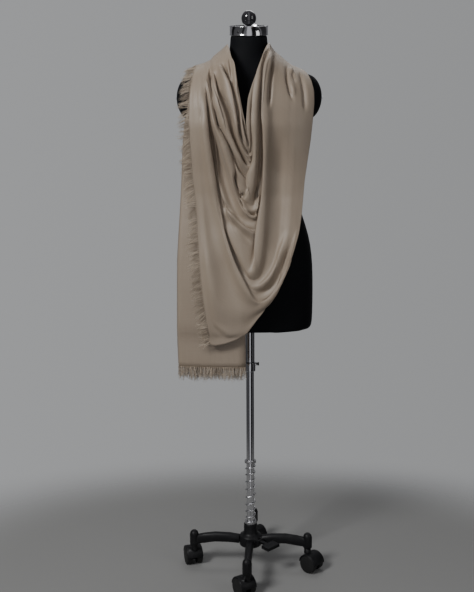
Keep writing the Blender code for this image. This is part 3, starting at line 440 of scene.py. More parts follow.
# x and z of the line along which the cloth turns over the shoulders and the neck
crestTable = (
    (-172, 1368), (-138, 1375), (-112, 1382), (-97, 1389), (-89, 1399), (-73, 1411), (-56, 1426),
    (-45, 1432), (45, 1432), (52, 1430), (58, 1419), (66, 1409), (81, 1397), (97, 1383),
    (110, 1374), (133, 1365), (148, 1360), (172, 1354), (200, 1350),
)
cowlColumns = (
    "ridge", "crestL", "roundL", "lowX", "lowZ",
    "roundR", "legR", "crestR", "liftL", "liftLow", "liftR",
)
# one line a fold, from the neckline down: 1 for a ridge and 0 for a valley, where its left side
# meets the crest and how round it is, its lowest point, how round its right side is, where that
# side stands and where it meets the crest, and its lifts on the left, lowest and on the right
cowlTable = (
    (1, -54, 0.95, -1, 1169, 0.95, 1, 51.5, -2, 0, -7),
    (1, -59, 1.50, 0, 1153, 1.90, 7, 52.5, 3, 6, 0),
    (0, -63, 1.42, 2, 1143, 2.20, 10, 53.5, -4, -4, -4),
    (1, -70, 1.45, 3, 1135, 2.40, 12, 54.5, 6, 4, -2),
    (0, -84, 1.37, 3, 1124, 2.40, 13.5, 55.5, -6, -6, -3),
    (1, -92, 1.43, 2, 1107, 2.40, 15, 56.5, 7, 9, -3),
    (0, -98, 1.40, 6, 1073, 2.40, 16.5, 57.5, -6, -9, -5),
    (1, -101, 1.52, 0, 1034, 2.60, 20, 58.5, 2, 6, 15),
    (0, -103, 1.50, 4, 1016, 3.00, 27, 60, -6, -9, -4),
    (1, -105, 1.46, 10, 992, 3.00, 30, 61, 6, 13, -5),
    (0, -107, 1.75, 13, 979, 3.00, 33, 62, -4, -6, -6),
    (1, -109, 2.30, 20, 948, 3.00, 36, 63, -2, 8, -6),
    (0, -110.5, 2.05, 14, 912, 3.00, 39, 64, -6, -12, -7),
    (1, -112, 1.70, 4, 852, 3.20, 46, 66, -3, 7, 15),
    (0, -113, 1.74, 8, 834, 3.20, 58, 70, -4, -4, 0),
    (1, -114, 1.82, 12, 819, 2.80, 90, 83, -2, 6, 8),
    (0, -115, 1.88, 16, 807, 2.80, 101, 96, -4, 1, 1),
    (1, -118, 1.90, 20, 785, 2.80, 113, 108, 10, 12, 6),
)
# the flat panel beyond the folds: share of the way to the edge, and its lifts as above
panelTable = ((0.26, 2, 2, 2), (0.52, 6, 8, 6), (0.77, 2, -4, 4), (1.0, 3, 0, 6))
# x and z of the cloth's edge: down the left side, along the bottom, up the right side
edgeSide = (
    (-134, 1373), (-139, 1352), (-146, 1290), (-149, 1226), (-145, 1131), (-142, 1083),
    (-136, 1034), (-132, 961), (-128, 887), (-119, 787), (-109, 711), (-103, 668),
)
edgeBottom = ((-103, 668), (-92, 664), (-61, 671), (-31, 682), (-8, 698), (20, 736))
edgeRight = (
    (20, 736), (38, 757), (62, 787), (85, 823), (103, 867), (114, 909), (123, 946), (130, 991),
    (134, 1033), (138, 1081), (145, 1130), (152, 1178), (157, 1226), (161, 1268), (161, 1300),
    (155, 1328), (146, 1348), (133, 1365),
)
# the folded end: height, left side and right side
tailSides = (
    (603, -186, -11), (680, -188, -12), (886, -184, -18), (973, -178, -26), (1060, -172, -38),
    (1156, -166, -50), (1216, -160, -56), (1300, -143, -58), (1362, -122, -57),
    (1430, -118, -57),
)
drape = {
    "clothWidth": 0.70,
    "chestZ": 1.240,
    "legTurnZ": 1.150,
    "legTurn": 2.5,
    "legTurnGain": 3.5 / 0.165,
    "legSteps": 140,
    "crowding": 1.6,
    "leftSpan": 0.30,
    "rightSpanZ": (0.85, 1.15),
    "rightSpan": (0.26, 0.20),
    "backSpan": 0.21,
    "spanPower": 2.4,
    "frontClear": 34 * mm,
    "tailRoom": 5 * mm,
    "tailRoomEnd": 20 * mm,
    "backClear": 22 * mm,
    "crestGap": 0.3 * mm,
    "liftFrom": (0.35, 0.70),
    "liftUntil": 0.55,
    "rowSpace": 0.08 * mm,
    "foldSpread": (3.2 * mm, 2.2 * mm),
    "foldMeeting": 0.14,
    "valleyTension": 0.45,
    "liftGain": (0.45, 0.35, 0.08),
    "overShoulder": 9 * mm,
    "edgePoints": 90,
    "stepsAFold": 10,
    "columnsALeg": 112,
    "cornerColumn": 91,
    "thickness": 1.1 * mm,
}
# turn and samples are shares of the cloth's whole width, within one layer
tailFold = {
    "layers": 4,
    "clear": 5 * mm,
    "stepAtShoulder": 3.8 * mm,
    "stepAtHem": 4.8 * mm,
    "shoulderZ": (1.15, 1.40),
    "shoulderSink": 1 * mm,
    "crestZ": 1.43,
    "hemZ": 0.603,
    "inset": 3.5 * mm,
    "span": 0.30,
    "turn": 0.012,
    "samples": (0, 0.006, 0.012, 0.03, 0.055, 0.085, 0.11, 0.135, 0.16, 0.185, 0.21, 0.23, 0.238,
                0.244),
    "fineSteps": 160,
    "steps": 56,
}
backSwags = {
    "lowX": 0.004,
    "topLowZ": 1.394,
    "fall": 0.325,
    "fallPower": 0.9,
    "sideLift": 4 * mm,
    "lowLift": 6 * mm,
    "swell": 7 * mm,
    "swags": 4.5,
    "swagStart": 0.6,
    "round": 1.7,
    "rise": 4,
    "steps": 30,
    "frontRowsARow": 3,
}

torsoAt = {name: np.array(torsoTable, float)[:, i] for i, name in enumerate(torsoColumns)}
cowlAt = {name: np.array(cowlTable, float)[:, i] for i, name in enumerate(cowlColumns)}
crestAt = np.array(crestTable, float) * mm
tailAt = np.array(tailSides, float) * mm
foldTension = np.where(cowlAt["ridge"] > 0, 1.0, drape["valleyTension"])
lastFold = len(cowlTable) - 1
# the torso's row from which its shoulders slope in
shoulderRow = 13
# a point is on the crest when it lies less far forward than this
onCrest = -1 * mm


def torsoSize(column, z):
    return np.interp(np.asarray(z) / mm, torsoAt["z"], torsoAt[column]) * mm


def crestHeight(x):
    return np.interp(x, crestAt[:, 0], crestAt[:, 1])


def shoulderHeight(x):
    widths, heights = torsoAt["halfWidth"][shoulderRow:], torsoAt["z"][shoulderRow:]
    return np.interp(-np.abs(x) / mm, -widths, heights) * mm


def falloff(x, halfSpan):
    # how far forward the cloth still reaches, away from the middle
    power = drape["spanPower"]
    return (1 - np.minimum(np.abs(x) / halfSpan, 0.995) ** power) ** (1 / power)


def frontSpan(x, z):
    right = np.interp(z, drape["rightSpanZ"], drape["rightSpan"])
    return np.where(np.asarray(x) < 0, drape["leftSpan"], right)


def turnedOver(z, top):
    # the same, above the chest and up to the crest
    share = (z - drape["chestZ"]) / np.maximum(top - drape["chestZ"], mm)
    return np.sqrt(np.maximum(0.0, 1 - np.clip(share, 0, 1) ** 2))


def frontDepth(x, z, lift):
    end = drape["tailRoomEnd"]
    clear = drape["frontClear"] + drape["tailRoom"] * np.interp(x, (-end, end), (1, 0))
    reach = torsoSize("front", np.minimum(z, drape["chestZ"])) + clear + lift
    return -reach * falloff(x, frontSpan(x, z)) * turnedOver(z, crestHeight(x) + lift)


def backDepth(x, z, lift):
    reach = torsoSize("back", np.minimum(z, drape["chestZ"])) + drape["backClear"] + lift
    return reach * falloff(x, drape["backSpan"]) * turnedOver(z, crestHeight(x) + lift)


def smooth(f):
    f = np.clip(f, 0.0, 1.0)
    return f * f * (3 - 2 * f)


def between(values, tensions, t):
    # a smooth curve through a column of a table, flatter where the tension is small
    last = len(values) - 1
    i = min(int(t), last - 1)
    f = t - i
    ahead = np.diff(values)
    slopes = np.concatenate(([ahead[0]], (ahead[1:] + ahead[:-1]) / 2, [ahead[-1]])) * tensions
    return (
        (1 + 2 * f) * (1 - f) ** 2 * values[i] + f * (1 - f) ** 2 * slopes[i]
        + f * f * (3 - 2 * f) * values[i + 1] + f * f * (f - 1) * slopes[i + 1]
    )


def resampled(points, count):
    points = np.array(points)
    run = np.concatenate(
        ([0], np.cumsum(np.linalg.norm(np.diff(points[:, :3], axis=0), axis=1))))
    at = np.linspace(0, run[-1], count + 1)
    return np.stack([np.interp(at, run, column) for column in points.T], axis=1)


def withDepth(points, depth):
    x, z, lift = np.array(points).T
    return np.stack((x, depth(x, z, lift), z, lift), axis=1)


def liftAt(lifts, fall, near, start):
    until = drape["liftUntil"]
    lift = lifts[0] + (lifts[1] - lifts[0]) * smooth((fall - start) / (1 - start))
    return lift * (1 - smooth((near - until) / (1 - until)))


def legPoints(crest, leg, full, low, lifts, start, turn=drape["legTurn"]):
    # one side of a fold, from the shoulder's crest to its lowest point
    lowX, lowZ = low
    top = crestHeight(crest)
    falls = np.linspace(0, 1, drape["legSteps"]) ** drape["crowding"]
    sweeps = (1 - np.linspace(1, 0, drape["legSteps"]) ** full) ** (1 / full)
    fall = np.unique(np.concatenate((falls, sweeps)))
    side = np.maximum(0.0, 1 - fall**full) ** (1 / full)
    z = top - fall * (top - lowZ)
    near = np.maximum(0.0, (z - drape["legTurnZ"]) / (top - drape["legTurnZ"]))
    x = lowX + (leg - lowX) * side + (crest - leg) * near**turn
    return np.stack((x, z, liftAt(lifts, fall, near, start)), axis=1)


def keptOutside(leg, inner, side):
    # a row stays outside the one before it, on its own side
    if inner is not None:
        order = np.argsort(inner[:, 1])
        limit = np.interp(leg[:, 1], inner[order, 1], side * inner[order, 0], left=-1.0)
        leg[:, 0] = side * np.maximum(side * leg[:, 0], limit + drape["rowSpace"])
    return leg


def overShoulder(left):
    # the row goes on a little way behind the crest of the left shoulder
    x, _, z, _ = left[0]
    end = [(x, drape["overShoulder"] * s, z - mm * s**2, 0) for s in (1, 0.67, 0.33)]
    return np.concatenate((end, left))


def edgeLine(points):
    line = resampled([(x * mm, z * mm, 0) for x, z in points], drape["edgePoints"])
    return withDepth(line, frontDepth)


def panelRows(fold):
    # rows between the last fold and the cloth's own edge
    steps, leg = drape["stepsAFold"], drape["columnsALeg"]
    lifts = np.array([(0, *(cowlAt[name][-1] for name in ("liftL", "liftLow", "liftR")))]
                     + list(panelTable), float)
    lifts[:, 1:] *= np.array(drape["liftGain"]) * mm
    side = resampled(overShoulder(edgeLine(edgeSide)), drape["cornerColumn"])
    bottom = resampled(edgeLine(edgeBottom), leg - drape["cornerColumn"])
    right = resampled(edgeLine(edgeRight[::-1]), leg)[::-1]
    edge = np.concatenate((side[:-1], bottom[:-1], right))
    rows = []
    for k in range(1, len(panelTable) * steps + 1):
        share, *rowLifts = (between(column, np.ones(len(lifts)), k / steps) for column in lifts.T)
        row = fold + (edge - fold) * share
        for j, point in enumerate(row):
            if j < leg:
                fall, pair, start = j / leg, rowLifts[:2], drape["liftFrom"][0]
            else:
                fall, pair, start = (2 * leg - j) / leg, rowLifts[:0:-1], drape["liftFrom"][1]
            near = (point[2] - drape["legTurnZ"]) / (crestHeight(point[0]) - drape["legTurnZ"])
            point[3] = liftAt(pair, fall, near, start)
            if point[1] < onCrest:
                point[1] = frontDepth(point[0], point[2], point[3])
        rows.append(row)
    return rows


def evened(grid):
    # lifts fade where the folds lie close together
    leg, steps = drape["columnsALeg"], drape["stepsAFold"]
    for j in range(2 * leg + 1):
        column = grid[:, j]
        if column[0, 1] >= onCrest:
            continue
        shares = np.full(len(column), smooth(abs(leg - j) / (drape["foldMeeting"] * leg)))
        shares[-len(panelTable) * steps:] = 1
        spread = drape["foldSpread"][0 if j < leg else 1]
        run = np.concatenate(
            ([0], np.cumsum(np.linalg.norm(np.diff(column[:, [0, 2]], axis=0), axis=1))))
        room = np.gradient(run) + 0.1 * mm
        weights = np.exp(-((run[:, None] - run[None, :]) / spread) ** 2 / 2) * room
        even = weights @ column[:, 3] / weights.sum(axis=1)
        before = frontDepth(column[:, 0], column[:, 2], column[:, 3])
        column[:, 3] += (even - column[:, 3]) * shares
        column[:, 1] += frontDepth(column[:, 0], column[:, 2], column[:, 3]) - before
    return grid


def cowlGrid():
    # rows run from the left shoulder down through the cowl and up to the right one
    steps, legColumns = drape["stepsAFold"], drape["columnsALeg"]
    startLeft, startRight = drape["liftFrom"]
    rows = []
    left = right = None
    for k in range(lastFold * steps + 1):
        row = {
            name: between(cowlAt[name], foldTension, k / steps)
            * (1.0 if name.startswith("round") else mm) for name in cowlColumns[1:]}
        low = (row["lowX"], row["lowZ"])
        liftL, liftLow, liftR = (
            row[name] * gain
            for name, gain in zip(("liftL", "liftLow", "liftR"), drape["liftGain"]))
        left = keptOutside(legPoints(
            row["crestL"], row["crestL"], row["roundL"], low, (liftL, liftLow), startLeft),
            left, -1)
        right = keptOutside(legPoints(
            row["crestR"], row["legR"], row["roundR"], low, (liftR, liftLow), startRight,
            drape["legTurn"] + drape["legTurnGain"] * row["legR"]), right, 1)
        shown = resampled(overShoulder(withDepth(left, frontDepth)), legColumns)
        other = resampled(withDepth(right, frontDepth), legColumns)[::-1]
        rows.append(np.concatenate((shown[:-1], other)))
    rows += panelRows(rows[-1])
    grid = evened(np.array(rows))[:, :, :3]
    grid[:, -1, 1] = -drape["crestGap"]
    return grid


def folded(q):
    # where a point of the folded width lies: its share across, and of the depth
    layers, turn = tailFold["layers"], tailFold["turn"]
    layer = min(int(q * layers), layers - 1)
    within = q * layers - layer
    across = within if layer % 2 == 0 else 1 - within
    depth = layer
    for k in range(1, layers):
        off = q - k / layers
        if abs(off) <= turn:
            depth = k - 0.5 + 0.5 * off / turn
    return across, depth / (layers - 1)


def foldSamples():
    # the first layer starts at the cloth's edge, so it has no points in a turn there
    samples = []
    for layer in range(tailFold["layers"]):
        start = layer / tailFold["layers"]
        samples += [start + s for s in tailFold["samples"]
                    if layer > 0 or not 0 < s <= tailFold["turn"]]
    return samples + [1.0]


def tailPoint(q, z):
    across, depth = folded(q)
    right = np.interp(z, tailAt[:, 0], tailAt[:, 2])
    left = np.interp(z, tailAt[:, 0], tailAt[:, 1])
    low, high = tailFold["shoulderZ"]
    near = smooth((z - low) / (high - low))
    hemStep = tailFold["stepAtHem"]
    step = hemStep + (tailFold["stepAtShoulder"] - hemStep) * near
    layers = tailFold["layers"] - 1
    lift = tailFold["clear"] - tailFold["shoulderSink"] * near + step * layers * (1 - depth)
    inset = tailFold["inset"] * (depth * layers // 2)
    x = right + (left - right) * across
    return x + (inset if across > 0.5 else -inset), lift


def tailPoints(q):
    # one line of the folded end, from the shoulder's crest down to its hem
    crestX, crestLift = tailPoint(q, tailFold["crestZ"])
    top = shoulderHeight(crestX) + crestLift
    falls = np.linspace(0, 1, tailFold["fineSteps"]) ** drape["crowding"]
    z = top - falls * (top - tailFold["hemZ"])
    x, lift = tailPoint(q, z)
    reach = torsoSize("front", np.minimum(z, drape["chestZ"])) + lift
    roof = shoulderHeight(x) + lift
    roof += (top - roof) * smooth((z - drape["chestZ"]) / (top - drape["chestZ"]))
    y = -reach * falloff(x, tailFold["span"]) * turnedOver(z, roof)
    points = resampled(np.stack((x, y, z), axis=1), tailFold["steps"])
    points[0][1] -= drape["crestGap"]
    return points


def backPoints(q, rightCrest):
    # one row behind the neck, from the right shoulder to the folded end on the left one
    fall, power = backSwags["fall"], backSwags["fallPower"]
    low = (backSwags["lowX"], backSwags["topLowZ"] - fall * q**power)
    wave = math.sin(2 * math.pi * backSwags["swags"] * q + backSwags["swagStart"])
    lifts = (backSwags["sideLift"], backSwags["lowLift"] + backSwags["swell"] * wave)
    start, full = drape["liftFrom"][0], backSwags["round"]
    right = withDepth(legPoints(rightCrest, rightCrest, full, low, lifts, start), backDepth)
    crest = tailAt[-1][2] + (tailAt[-1][1] - tailAt[-1][2]) * q
    layers = tailFold["stepAtShoulder"] * (tailFold["layers"] - 1)
    # the row ends within the folded layers, in which the cloth goes over and back twice
    rest = shoulderHeight(crest) + tailFold["clear"] + layers * (
        0.5 + 0.4 * math.cos(4 * math.pi * q))
    top = crestHeight(crest)
    left = withDepth(legPoints(crest, crest, full, low, lifts, start), backDepth)
    rise = smooth((left[:, 2] - low[1]) / (top - low[1])) ** backSwags["rise"]
    left[:, 2] += (rest - top) * rise
    right = resampled(right, backSwags["steps"])[:, :3]
    left = resampled(left, backSwags["steps"])[::-1, :3]
    right[0][1] += drape["crestGap"]
    left[-1][1] += drape["crestGap"]
    return np.concatenate((right[:-1], left))


def gridNormals(grid):
    down = np.gradient(grid, axis=0)
    across = np.gradient(grid, axis=1)
    normal = np.cross(across, down)
    return normal / (np.linalg.norm(normal, axis=2, keepdims=True) + 1e-9)


def softened(grid, rounds):
    # each point moves halfway to the middle of its neighbours, and those on the edges stay
    for _ in range(rounds):
        inner = (grid[:-2, 1:-1] + grid[2:, 1:-1] + grid[1:-1, :-2] + grid[1:-1, 2:]) / 4
        grid[1:-1, 1:-1] += (inner - grid[1:-1, 1:-1]) / 2
    return grid


def clothPiece(name, node, grid, material):
    rows, columns = grid.shape[:2]
    mesh = bpy.data.meshes.new(name)
    corners = [
        (r * columns + c, r * columns + c + 1, (r + 1) * columns + c + 1, (r + 1) * columns + c)
        for r in range(rows - 1) for c in range(columns - 1)]
    mesh.from_pydata(grid.reshape(-1, 3).tolist(), [], corners)
    piece = bpy.data.objects.new(name, mesh)
    bpy.context.scene.collection.objects.link(piece)
    # the weave's own map, in metres along and across the cloth
    stepDown = np.linalg.norm(np.diff(grid, axis=0), axis=2).mean(axis=1)
    stepAcross = np.linalg.norm(np.diff(grid, axis=1), axis=2).mean(axis=0)
    u = np.concatenate(([0], np.cumsum(stepAcross)))
    v = np.concatenate(([0], np.cumsum(stepDown)))
    layer = mesh.uv_layers.new(name="weave")
    places = np.array(corners).ravel()
    uv = np.stack((u[places % columns], v[places // columns]), axis=1)
    layer.data.foreach_set("uv", uv.astype(np.float32).ravel())
    mesh.materials.append(material)
    bpy.ops.object.select_all(action="DESELECT")
    piece.select_set(True)
    bpy.context.view_layer.objects.active = piece
    bpy.ops.object.shade_smooth()
    wall = piece.modifiers.new("cloth", "SOLIDIFY")
    wall.thickness = drape["thickness"]
    wall.offset = 0
    bpy.ops.object.modifier_apply(modifier="cloth")
    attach(piece, "form")
    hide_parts(node)
    area = clothArea(grid)
    print(name, "area", round(area, 4), "triangles", 4 * len(corners))
    return piece, area


def clothArea(grid):
    across, down = np.diff(grid, axis=1)[:-1], np.diff(grid, axis=0)[:, :-1]
    return float(np.linalg.norm(np.cross(across, down), axis=2).sum())


# one line a crease in millimetres: its height (a trough's is below 0), its width on the right
# and on the left of the way it runs, and the points x, z that it runs through
creaseTable = (
    ("outerRoll", 7, 12, 3.5, (-109, 1340), (-112, 1311), (-110, 1222), (-93, 1090), (-81, 1041),
     (-66, 948), (-45, 883), (-20, 826), (-5, 798), (10, 781), (30, 774), (48, 780), (68, 803),
     (82, 829), (93, 857), (116, 943), (121, 973)),
    ("outerRollHollow", -10, 3.2, 9, (-107, 1335), (-109, 1294), (-105, 1226), (-83, 1066),
     (-44, 906), (-16, 838), (2, 805)),
    ("secondRoll", 8, 7, 3.5, (-99, 1351), (-104, 1324), (-100, 1274), (-66, 1155), (-51, 1112),
     (-32, 1036), (-26, 1019), (-18, 1006), (-8, 997), (1, 992), (26, 991)),
    ("secondRollHollow", -11, 3.2, 6, (-94, 1361), (-98, 1334), (-95, 1274), (-52, 1143),
     (-27, 1031), (-21, 1016), (-13, 1005)),
    ("secondRollEnd", -12, 4, 4, (-8, 1002), (4, 999), (16, 1000), (26, 1006)),
    ("leftTrough", -8, 8, 8, (-94, 1214), (-90, 1186), (-76, 1136), (-34, 1011), (-23, 992),
     (-9, 982), (9, 979), (24, 981)),
    ("leftRib", 4, 5, 5, (-90, 1131), (-77, 1075), (-68, 1048), (-48, 1007)),
    ("thirdRoll", 8, 6, 4, (-72, 1026), (-51, 997), (-9, 958), (6, 952), (24, 951)),
    ("thirdRollTop", -10, 3.5, 3.5, (-21, 973), (9, 960), (22, 959)),
    ("thirdRollUpper", -7, 3, 3, (-69, 1031), (-38, 993)),
    ("thirdRollUnder", -7, 5, 8, (-67, 999), (-9, 940), (13, 910)),
    ("deepHollow", -14, 3.5, 6, (-87, 1349), (-67, 1280), (-56, 1254), (-38, 1188), (-10, 1126),
     (-3, 1117), (7, 1122)),
    ("deepFork", -5, 2, 2, (-71, 1305), (-57, 1263)),
    ("deepRoll", 7, 9, 3.5, (-93, 1328), (-83, 1269), (-64, 1218), (-29, 1141), (-13, 1115),
     (-3, 1109), (6, 1111), (12, 1119)),
    ("innerHollow", -12, 3, 5, (-69, 1372), (-54, 1336), (-32, 1261), (-19, 1170), (-13, 1156),
     (-5, 1146), (3, 1142), (12, 1143)),
    ("innerRoll", 6, 5, 3, (-78, 1370), (-57, 1317), (-21, 1164), (-15, 1150), (-6, 1139),
     (2, 1135), (12, 1136)),
    ("neckHollow", -6, 3, 3, (-49, 1386), (-37, 1290)),
    ("neckRib", 4, 3, 3, (-49, 1334), (-44, 1302), (-31, 1251)),
    ("neckRoll", 5, 3.5, 3, (-43, 1386), (-14, 1185), (-9, 1166), (-3, 1156), (2, 1159)),
    ("neckCrease", -4, 2.5, 2.5, (-32, 1321), (-26, 1266)),
    ("neckSlit", -10, 3, 4, (-20, 1242), (-10, 1183), (-3, 1159)),
    ("innerLedge", 3, 2, 2, (-5, 1127), (10, 1131)),
    ("slantHollow", -7, 3, 4, (-64, 1186), (-39, 1136), (-26, 1104), (2, 1077)),
    ("slantRib", 5, 5, 3, (-66, 1181), (-28, 1099), (1, 1070)),
    ("pocketFloor", -8, 4, 4, (-27, 1043), (-16, 1043), (-6, 1048)),
    ("rightInnerRoll", 9, 3.5, 6, (51, 1414), (36, 1357), (23, 1283), (19, 1235), (18, 1164),
     (12, 1092), (3, 1055), (-3, 1042), (-12, 1033), (-23, 1030)),
    ("rightInnerEdge", -9, 6, 3, (26, 1331), (13, 1271), (11, 1123), (0, 1058)),
    ("rightInnerHollow", -9, 5, 5, (52, 1410), (38, 1339), (31, 1271), (31, 1166), (27, 1104),
     (19, 1048), (10, 1026)),
    ("rightNick", 2.5, 2, 2, (34, 1181), (36, 1154)),
    ("rightRoll", 10, 3.5, 9, (56, 1403), (45, 1347), (40, 1297), (43, 1190), (42, 1082),
     (30, 939), (25, 905), (13, 861), (3, 851), (-8, 845), (-19, 850)),
    ("rightRollEdge", -7, 5, 3, (37, 1230), (39, 1140), (36, 1072), (10, 870)),
    ("rightTopHollow", -9, 3, 4, (62, 1389), (52, 1292), (50, 1249)),
    ("rightPanel", -8, 18, 13, (74, 1220), (77, 1060), (75, 975), (67, 912), (50, 865),
     (26, 834)),
    ("lowSwag", 7, 9, 5, (-7, 821), (4, 814), (19, 815), (34, 822), (49, 836), (60, 853),
     (86, 925), (96, 960)),
    ("lowSwagUnder", -4, 7, 7, (8, 801), (25, 801), (45, 810), (63, 828), (77, 854), (100, 916)),
    ("shoulderTuck", -7, 4, 4, (93, 1364), (95, 1316), (106, 1280), (114, 1270)),
    ("tuckRib", 3, 2.5, 2.5, (99, 1364), (111, 1335)),
    ("shortTuck", -4, 3, 3, (104, 1350), (115, 1320)),
    ("tuckSwell", 3, 4, 4, (100, 1324), (113, 1282)),
    ("armTuck", -5, 6, 6, (124, 1353), (130, 1332), (136, 1288), (138, 1244)),
    ("leftLine", -3, 4, 4, (-116, 1324), (-117, 1207)),
    ("panelTrough", -9, 20, 9, (-93, 1080), (-80, 972), (-72, 923), (-47, 841), (-20, 782),
     (-14, 752)),
    ("panelSwell", 5, 14, 16, (-104, 980), (-98, 900), (-80, 745), (-63, 701)),
    ("cornerTuck", -4, 5, 5, (-96, 722), (-61, 687)),
    ("cornerRib", 3, 4, 4, (-91, 729), (-66, 705), (-51, 695), (-31, 695)),
)
# height, and how far the roll on the right of the neckline reaches over to the left one there
innerRoll = ((1165, 0), (1190, 4.5), (1218, 8), (1278, 9.5), (1312, 5), (1350, 0))
# the folds from the neckline down over which that reach fades: the first one, and how many
innerRollFolds = (0.4, 1.4)
crease = {
    "gain": 1.45,
    "hollowNarrow": 0.62,
    "narrowBelow": 7.5,
    "overhang": 0.5,
    "endFade": 32 * mm,
    "fadeWidths": 7,
    "fadeShare": 0.4,
    "crestFade": 26 * mm,
    "crestShare": 0.4,
    "lineStep": 8 * mm,
}


def smoothLine(points):
    points = np.array(points, float) * mm
    run = np.concatenate(([0], np.cumsum(np.linalg.norm(np.diff(points, axis=0), axis=1))))
    slopes = np.gradient(points, run, axis=0)
    at = np.linspace(0, run[-1], max(2, int(run[-1] / crease["lineStep"])) + 1)
    i = np.clip(np.searchsorted(run, at, side="right") - 1, 0, len(points) - 2)
    room = (run[i + 1] - run[i])[:, None]
    f = (at - run[i])[:, None] / room
    return (
        (1 + 2 * f) * (1 - f) ** 2 * points[i] + f * (1 - f) ** 2 * room * slopes[i]
        + f * f * (3 - 2 * f) * points[i + 1] + f * f * (f - 1) * room * slopes[i + 1])


def creaseShape(x, z):
    # how far the creases move each point: out of the cloth, and sideways over their steep side
    out, shiftX, shiftZ = (np.zeros_like(x) for _ in range(3))
    for _, height, right, left, *points in creaseTable:
        if height < 0 and max(right, left) < crease["narrowBelow"]:
            right, left = right * crease["hollowNarrow"], left * crease["hollowNarrow"]
        line = smoothLine(points)
        lengths = np.linalg.norm(np.diff(line, axis=0), axis=1)
        starts = np.concatenate(([0], np.cumsum(lengths)))
        nearest = np.full(x.shape, 1e9)
        place, leftward, wayX, wayZ = (np.zeros_like(x) for _ in range(4))
        for (ax, az), (bx, bz), run, start in zip(line, line[1:], lengths, starts):
            dx, dz = (bx - ax) / run, (bz - az) / run
            along = np.clip((x - ax) * dx + (z - az) * dz, 0, run)
            offX, offZ = x - ax - along * dx, z - az - along * dz
            gap = np.hypot(offX, offZ)
            closer = gap < nearest
            nearest = np.where(closer, gap, nearest)
            place = np.where(closer, start + along, place)
            leftward = np.where(closer, dx * offZ - dz * offX, leftward)
            wayX = np.where(closer, -dz, wayX)
            wayZ = np.where(closer, dx, wayZ)
        width = np.where(leftward > 0, left, right) * mm
        toEnd = np.minimum(place, starts[-1] - place)
        reach = max(crease["endFade"], crease["fadeWidths"] * max(right, left) * mm)
        fade = smooth(toEnd / min(reach, crease["fadeShare"] * starts[-1]))
        rise = height * crease["gain"] * mm * fade * np.exp(-((nearest / width) ** 2) / 2)
        out += rise
        if height > 0 and left != right:
            over = rise * crease["overhang"] * (1 if left < right else -1)
            shiftX += over * wayX
            shiftZ += over * wayZ
    return out, shiftX, shiftZ


def innerRollWidened(grid):
    first, count = innerRollFolds
    shares = 1 - smooth((np.arange(len(grid)) / drape["stepsAFold"] - first) / count)
    heights, widths = np.array(innerRoll).T * mm
    right = grid[:, drape["columnsALeg"] + 1:]
    right[:, :, 0] -= np.interp(right[:, :, 2], heights, widths) * shares[:, None]
    return grid


def buildShawl(material):
    grid = innerRollWidened(softened(cowlGrid(), 2))
    normals = gridNormals(grid)
    outward = np.array((0, -1, 0.3))
    flip = np.sign((normals * outward).sum(axis=2, keepdims=True))
    x, z = grid[:, :, 0], grid[:, :, 2]
    out, shiftX, shiftZ = creaseShape(x, z)
    near = smooth((crestHeight(x) - z) / crease["crestFade"])
    kept = crease["crestShare"] + (1 - crease["crestShare"]) * near
    grid = grid + normals * flip * (out * kept)[:, :, None]
    grid[:, :, 0] += shiftX * near
    grid[:, :, 2] += shiftZ * near
    crests = grid[::backSwags["frontRowsARow"], -1, 0].copy()
    grid = softened(grid, 1)
    shares = np.linspace(0, 1, len(crests))
    backGrid = np.array([backPoints(q, x) for q, x in zip(shares, crests)])
    tailGrid = np.array([tailPoints(q) for q in foldSamples()])
    front = clothPiece("shawlFront", "shawl_front", grid, material)
    back = clothPiece("shawlBack", "shawl_back", backGrid, material)
    tail = clothPiece("shawlTail", "shawl_tail", tailGrid, material)
    return front, back, tail, grid, tailGrid


# loose yarns in small tufts, with gaps between them; a pair holds the limits of a random draw
fringe = {
    "length": 30 * mm,
    "tuftStep": 5.0 * mm,
    "tuftLength": (0.72, 1.12),
    "tuftTone": (0.25, 1.0),
    # how dark a yarn is painted at its root, as painted shade, and at its tip
    "rootShade": 0.6,
    "endTone": 1.2,
    "yarnsATuft": 7,
    "yarnLength": (0.66, 1.0),
    "yarnRadius": 0.50 * mm,
    "yarnTaper": 0.55,
    "yarnSpread": 0.085,
    "calmShare": 0.8,
    "wildSpread": 3,
    "rootSpread": 1.1 * mm,
    "rootInside": 3 * mm,
    "rootAhead": 0.9 * mm,
    "ahead": (-0.02, 0.16),
    "curl": (-3 * mm, 3 * mm),
    "wave": (-4 * mm, 4 * mm),
    "droop": (0.5 * mm, 6 * mm),
    "bend": (0.5, 2.2),
    "arch": 1.6 * mm,
    "rings": 7,
    "offTail": 1.2 * mm,
    "tailUntil": -12 * mm,
    "edgeFrom": -20 * mm,
    "edgeSlant": 0.28,
    "edgeLean": 0.42,
    "hemLean": 0.25,
}
yarnCorners = (0.5, 2.594, 4.689)


def overTail(centre):
    # keeps a point of a yarn in front of the folded end below it
    x, _, z = centre
    if x > fringe["tailUntil"] or z < tailFold["hemZ"]:
        return centre
    layers = tailFold["stepAtHem"] * (tailFold["layers"] - 1) + tailFold["clear"]
    reach = float(torsoSize("front", min(z, drape["chestZ"]))) + layers + fringe["offTail"]
    roof = float(shoulderHeight(x)) + layers
    if z >= roof:
        return centre
    front = -reach * float(falloff(x, tailFold["span"])) * float(turnedOver(z, roof))
    return Vector((x, min(centre.y, front), z))


